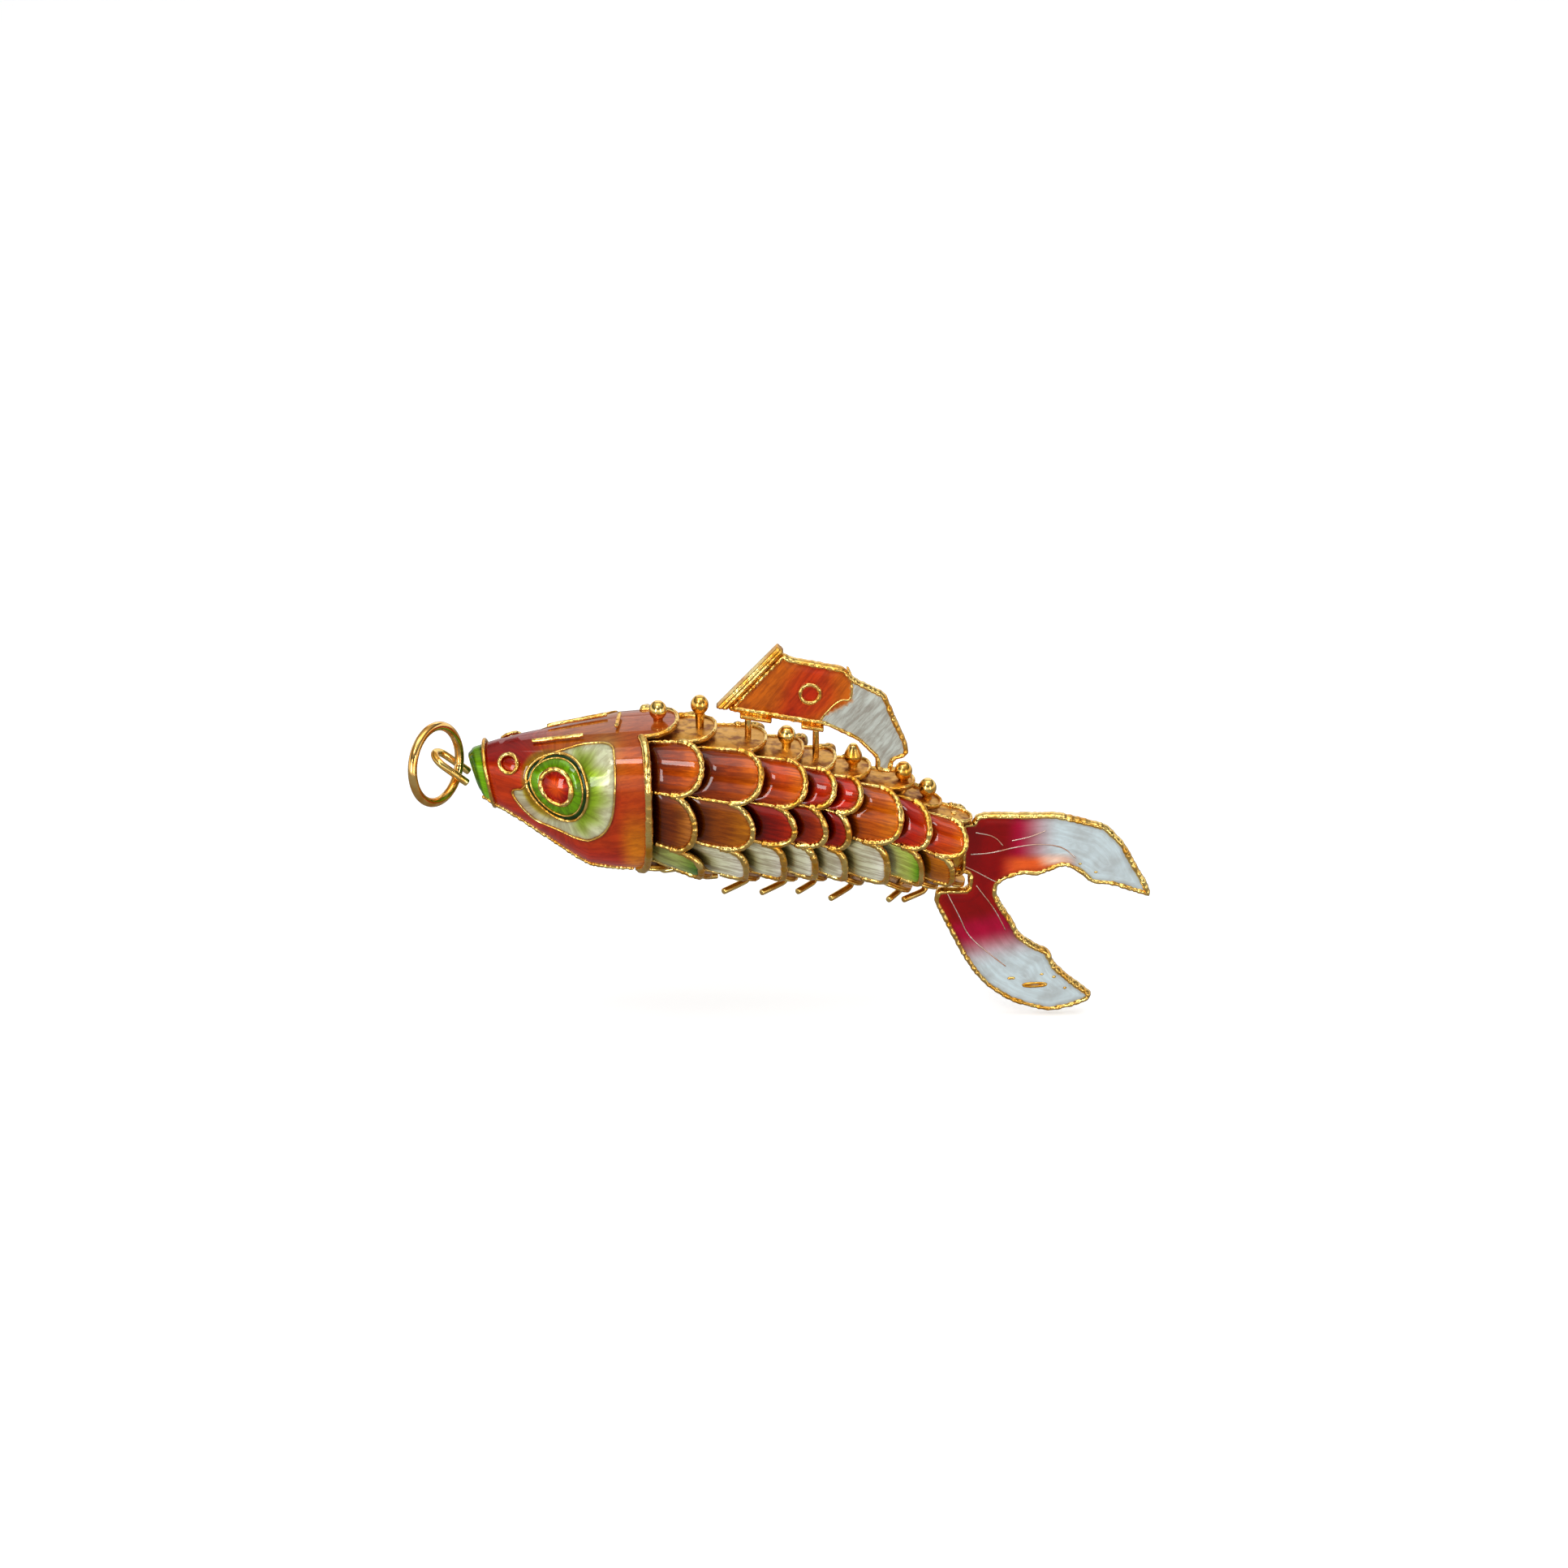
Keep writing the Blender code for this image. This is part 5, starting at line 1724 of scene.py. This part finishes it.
@dataclass
class DorsalFin:
    """Dorsal fin: ridged leading band, orange and silver glass, and its ring ornament."""

    frame: dict[str, Any]
    divide_wire: float = 0.11
    rail_wire: float = 0.34
    ring_wire: float = 0.20
    ring_x: float = 32.9
    ring_z: float = 5.75

    DIVIDE = ((36.1, 8.0), (36.5, 7.0), (36.5, 5.0), (35.4, 5.2), (33.9, 3.4), (33.7, 2.7))
    ORANGE = srgb(214, 124, 50)
    RED_STREAK = srgb(206, 70, 40)
    RING_HALO = srgb(212, 84, 46)
    RING_HEART = srgb(214, 70, 30)
    SILVER = srgb(206, 214, 216)

    def build(self, enamel: bpy.types.Material, gilt: bpy.types.Material) -> None:
        """Build and place the fin.

        Args:
            enamel: finish of the glass.
            gilt: finish of the metal.
        """
        outline, half = flat_outline(self.frame, "dorsal_fin")
        plate = Plate(outline, half, border=0.24)
        made, (flat, depth) = plate.build("dorsal_glass", enamel)
        x, z = flat[:, 0], flat[:, 1]
        divide = np.array(self.DIVIDE)
        rising = divide[::-1][[0, 1, 3, 4, 5]]
        border_x = np.interp(z, rising[:, 1], rising[:, 0])
        rear = smooth(-0.12, 0.12, x - border_x)
        ring = np.hypot(x - self.ring_x, z - self.ring_z)
        tint = np.asarray(self.ORANGE)
        for colour, share in (
                (self.RED_STREAK, np.exp(-((x - z * 0.5 - 29.5) / 1.6) ** 2)),
                (self.RING_HALO, np.exp(-((ring - 1.4) / 0.9) ** 2) * 0.8),
                (self.RING_HEART, smooth(0.86, 0.7, ring)),
                (self.SILVER, rear)):
            tint = laid_over(tint, colour, share)
        paint(made, "tint", tint)
        paint(made, "metal", smooth(0.12, 0.05, depth))
        # Painted shade along the border wire, left off the silver rear.
        paint(made, "depth", 0.6 * smooth(0.6, 0.2, depth) * (1 - rear))
        across = (x * math.sin(0.9) - z * math.cos(0.9)) * 0.62
        paint(made, "flow", np.stack([across, z * 0.9 + x * 0.6, 5 + 2 * rear], 1))
        settle(made, "dorsal_fin", "fin_enamel", "dorsal_fin")
        wires = [plate.border_wire(81)]
        wires += plate.face_wires(self.DIVIDE, self.divide_wire, 82)
        wires.append(Wire(self._rail(plate), self.rail_wire, beads=0.14, seed=85, sides=12))
        edge = wires_object("dorsal_border", wires, gilt)
        settle(edge, "dorsal_fin", "gilt_metal")
        self._band(gilt)
        for side in Side:
            node = f"fin_ring_{side.word}"
            low, high = box_of(node)
            centre, reach = (low + high) / 2, (high[0] - low[0]) / 2 - self.ring_wire
            turns = turned(40)
            path = np.stack([centre[0] + reach * np.cos(turns),
                             np.full(len(turns), side.value * (half * 0.82 + 0.1)),
                             centre[2] + reach * np.sin(turns)], 1)
            ring_wire = Wire(path, self.ring_wire, closed=True, beads=0.2, seed=90 + side.value)
            made = wires_object(f"{node}_wire", [ring_wire], gilt)
            settle(made, "dorsal_fin", "gilt_metal", node)

    def _rail(self, plate: Plate) -> np.ndarray:
        """Path of the thick rail along the fin's base, between its outermost flanges."""
        front = box_of("fin_flange_front")[0][0] - 1.0
        rear = box_of("fin_flange_rear")[1][0]
        x = np.linspace(front, rear, 12)
        low = plate.edge[(plate.edge[:, 0] > front - 0.6) & (plate.edge[:, 0] < rear + 0.6)]
        z = np.array([low[np.abs(low[:, 0] - place) < 0.5, 1].min() for place in x]) + 0.12
        return np.stack([x, np.zeros(12), z], 1)

    def _band(self, gilt: bpy.types.Material) -> None:
        """Build the thick leading band with its three ridges.

        Args:
            gilt: its finish.
        """
        corners, half = flat_outline(self.frame, "fin_leading_band")
        order = np.argsort(corners[:, 1])
        low, high = corners[order[:2]], corners[order[2:]]
        low, high = low[np.argsort(low[:, 0])], high[np.argsort(high[:, 0])]
        rows, count = 40, 44
        rings = []
        for share in np.linspace(0, 1, rows):
            left = low[0] * (1 - share) + high[0] * share
            right = low[1] * (1 - share) + high[1] * share
            ring = []
            for turn in turned(count):
                c, s = math.cos(turn), math.sin(turn)
                size = (abs(c) ** 4 + abs(s) ** 4) ** -0.25
                u, v = c * size, s * size
                ripple = 1 - 0.16 * (0.5 + 0.5 * math.cos(3 * math.pi * u)) * abs(v) ** 4
                place = (left + right) / 2 + (right - left) / 2 * u * 0.96
                ring.append((place[0], v * half * ripple, place[1]))
            rings.append(ring)
        made = mesh_object("leading_band", np.array(rings).reshape(-1, 3),
                           ring_faces(rows, count, capped=True), gilt)
        settle(made, "dorsal_fin", "gilt_metal", "fin_leading_band")


# Wires


@dataclass
class JumpRing:
    """Smooth round jump ring, with the fine butt joint of its ends."""

    frame: dict[str, Any]
    joint_at: float = 2.2
    joint_depth: float = 0.10
    joint_width: float = 0.09
    fullness: float = 1.03

    def build(self, polished: bpy.types.Material) -> None:
        """Build and place the ring.

        Args:
            polished: its finish.
        """
        mesh = self.frame["nodes"]["jump_ring"].data
        points = np.unique(np.round(np.array([v.co for v in mesh.vertices]) / MM, 3), axis=0)
        centre = points.mean(0)
        _, _, axes = np.linalg.svd(points - centre)
        off = (points - centre) @ axes[2]
        wire = np.ptp(off) / 2
        radius = np.linalg.norm((points - centre) @ axes[:2].T, axis=1).mean()
        turns = turned(180)
        path = centre + radius * (np.outer(np.cos(turns), axes[0])
                                  + np.outer(np.sin(turns), axes[1]))
        gap = folded(turns - self.joint_at) * radius
        groove = self.joint_depth * np.exp(-(gap / self.joint_width) ** 2)
        radii = wire * self.fullness * (1 - groove)
        made = wires_object("jump_ring_wire",
                            [Wire(path, radii, closed=True, sides=20)], polished)
        settle(made, "jump_ring", "ring_metal", "jump_ring")


@dataclass
class Pins:
    """Hinge pins with their balls and bent ends, fin posts, flanges, rivet and small wires."""

    frame: dict[str, Any]
    point_height: float = 0.30

    SWELL = 0.022

    def build(self, gilt: bpy.types.Material, rough: bpy.types.Material) -> None:
        """Build and place every small wire piece.

        Args:
            gilt: finish of the pins.
            rough: finish of the beaded wires.
        """
        for body, members in self.frame["record"]["behaviour"]["bodies"].items():
            for node in members:
                if node.startswith("pin_"):
                    shape = self.pointed if node == "pin_6" else None
                    refined(self.frame, node, gilt, body, "gilt_metal", self.SWELL, 2, shape)
                elif node.startswith("fin_post") or node == "tail_rivet":
                    refined(self.frame, node, gilt, body, "gilt_metal", self.SWELL)
                elif node.startswith("fin_flange"):
                    self.flange(node, body, rough)
                elif node == "mouth_wire":
                    refined(self.frame, node, rough, body, "gilt_metal", -0.02, 2, self.beaded)
                elif node.startswith(("crown", "nostril")):
                    refined(self.frame, node, rough, body, "gilt_metal", 0.045, 2, self.beaded)
        refined(self.frame, "nose_eye", gilt, "head", "gilt_metal", 0.037)

    def pointed(self, points: np.ndarray) -> np.ndarray:
        """Draw the ball's top out to a blunt point."""
        top = points[:, 2].max()
        near = smooth(top - 0.75, top, points[:, 2])
        out = points.copy()
        out[:, 2] += near ** 2 * self.point_height
        centre = points[points[:, 2] > top - 0.3].mean(0)
        out[:, :2] = centre[:2] + (points[:, :2] - centre[:2]) * (1 - 0.12 * near[:, None])
        return out

    @staticmethod
    def beaded(points: np.ndarray) -> np.ndarray:
        """Press small beads into a wire."""
        wave = np.sin(points[:, 0] * 13.0) * 0.5 + np.sin(points[:, 1] * 17.0) * 0.5
        out = points.copy()
        out[:, 2] += wave * BEAD_HEIGHT
        return out

    def flange(self, node: str, body: str, rough: bpy.types.Material) -> None:
        """Soften the edges of a soldered flange.

        Args:
            node: its node.
            body: the body it moves with.
            rough: its finish.
        """
        outline, half = flat_outline(self.frame, node)
        rings = []
        for y, inset in ((-half, 0.12), (-half + 0.1, 0.03), (-half + 0.2, 0.0),
                         (half - 0.2, 0.0), (half - 0.1, 0.03), (half, 0.12)):
            path = resampled(outline, 0.16, True)
            middle = path.mean(0)
            path = middle + (path - middle) * (1 - inset * np.array((0.6, 1.2)))
            rings.append(np.stack([path[:, 0], np.full(len(path), y), path[:, 1]], 1))
        made = mesh_object(f"{node}_piece", np.concatenate(rings),
                           ring_faces(len(rings), len(rings[0]), capped=True), rough)
        settle(made, body, "gilt_metal", node)


# Stage


@dataclass
class Stage:
    """Pale floor, soft studio lights and the camera."""

    floor_drop: float = 0.4
    floor_size: float = 3000.0
    azimuth: float = 0.0
    elevation: float = 26.0
    distance: float = 380.0
    lens: float = 100.0
    target: tuple[float, float, float] = (30.66, 0.0, -3.15)

    BANDS = ((0.0, 0.24), (0.42, 0.32), (0.485, 1.0), (0.635, 1.0), (0.67, 0.13),
             (0.75, 0.08), (0.82, 0.35), (0.92, 0.65))
    FLOOR_SQUARES = 8

    def floor(self, lowest: float) -> None:
        """Lay the floor just under the pendant.

        Args:
            lowest: lowest height of the pendant.
        """
        graph = Graph(bpy.data.materials.new("pale_floor"))
        grain = graph.noise(graph.place(), 0.05, 2)
        tone = graph.mix(grain, (0.90, 0.90, 0.90), (0.93, 0.93, 0.93))
        look = graph.finish(Base_Color=tone, Roughness=0.7,
                            Emission_Color=(1, 1, 1, 1), Emission_Strength=0.38)
        half, squares = self.floor_size / 2, self.FLOOR_SQUARES
        row = squares + 1
        line = np.linspace(-half, half, row)
        points = [(x, y, lowest - self.floor_drop) for y in line for x in line]
        starts = [r * row + c for r in range(squares) for c in range(squares)]
        faces = [(at, at + 1, at + row + 1, at + row) for at in starts]
        floor = mesh_object("floor", np.array(points), faces, look)
        floor.visible_glossy = False
        floor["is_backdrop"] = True

    def world(self) -> None:
        """Studio surroundings: pale at the horizon, a dark band above it, white overhead."""
        graph = Graph(bpy.data.worlds.new("studio"))
        bpy.context.scene.world = graph.owner
        where = graph.value("ShaderNodeTexCoord", "Generated")
        height = graph.value("ShaderNodeSeparateXYZ", "Z", None, {0: where})
        rise = graph.value("ShaderNodeMapRange", "Result", None,
                           {"Value": height, "From Min": -1.0})
        bands = graph.value("ShaderNodeValToRGB", 0, {
            "stops": [(place, (white,) * 3) for place, white in self.BANDS]}, {0: rise})
        light = graph.value("ShaderNodeBackground", 0, None, {0: bands, 1: 1.0})
        graph.node("ShaderNodeOutputWorld", None, {0: light})

    def lamp(self, name: str, place: tuple[float, float, float], size: tuple[float, float],
             power: float) -> None:
        """Hang one soft rectangular lamp that faces the pendant.

        Args:
            name: its name.
            place: where it hangs, in millimetres.
            size: its width and height.
            power: its power in watts.
        """
        data = bpy.data.lights.new(name, "AREA")
        data.shape = "RECTANGLE"
        data.size, data.size_y = size[0] * MM, size[1] * MM
        data.energy = power
        made = bpy.data.objects.new(name, data)
        made.location = Vector(place) * MM
        way = Vector(self.target) - Vector(place)
        made.rotation_euler = way.to_track_quat("-Z", "Y").to_euler()
        bpy.context.scene.collection.objects.link(made)

    def lights(self) -> None:
        """Hang the studio's lamps."""
        self.lamp("overhead", (40, -40, 330), (340, 200), 0.36)
        self.lamp("front_left", (-150, -330, 95), (70, 200), 0.42)
        self.lamp("front_right", (260, -300, 60), (40, 220), 0.22)
        self.lamp("high_key", (-60, -230, 300), (80, 80), 0.20)
        self.lamp("behind", (60, 330, 180), (300, 120), 0.14)

    def camera(self) -> None:
        """Set the camera."""
        data = bpy.data.cameras.new("camera")
        data.lens, data.sensor_width = self.lens, 36
        data.clip_start, data.clip_end = 0.01, 20
        made = bpy.data.objects.new("camera", data)
        turn, rise = math.radians(self.azimuth), math.radians(self.elevation)
        back = Vector((math.sin(turn) * math.cos(rise), -math.cos(turn) * math.cos(rise),
                       math.sin(rise)))
        made.location = (Vector(self.target) + back * self.distance) * MM
        made.rotation_euler = (-back).to_track_quat("-Z", "Y").to_euler()
        bpy.context.scene.collection.objects.link(made)
        bpy.context.scene.camera = made


PAINTS = (
    (AMBER, UMBER, MOSS),
    (AMBER, HONEY, PEARL),
    (COPPER, BLOOD, PEARL),
    (RUST, BRICK, PEARL),
    (SCARLET, BLOOD, PEARL),
    (PUMPKIN, PEARL),
    (SCARLET, LEAF),
    (TANGERINE, MUSTARD),
)


def main() -> None:
    """Load the frame, build every sub-assembly round it and set the stage."""
    logging.basicConfig(level=logging.INFO, format="%(name)s: %(message)s")
    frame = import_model()
    cad = [list(corner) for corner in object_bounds()]
    rough, scales = RIM_GILT.build(), SCALE_GLASS.build()

    JumpRing(frame).build(RING_GILT.build())
    head = Head(frame)
    head.build(HEAD_GLASS.build(), rough, EYE_GLASS.build())
    before: Callable[[np.ndarray], np.ndarray] = head.edge_at
    for number, rows in enumerate(PAINTS, 1):
        sleeve = Sleeve(frame, number, rows, before)
        sleeve.build(scales, rough)
        before = sleeve.edge_at
    Pins(frame).build(WIRE_GILT.build(), rough)
    DorsalFin(frame).build(FIN_GLASS.build(), rough)
    TailFin(frame).build(TAIL_GLASS.build(), rough, SILVERED.build())

    stage = Stage()
    stage.floor(cad[0][2] / MM)
    stage.world()
    stage.lights()
    stage.camera()
    bpy.context.scene.view_settings.view_transform = "Standard"


if __name__ == "__main__":
    main()
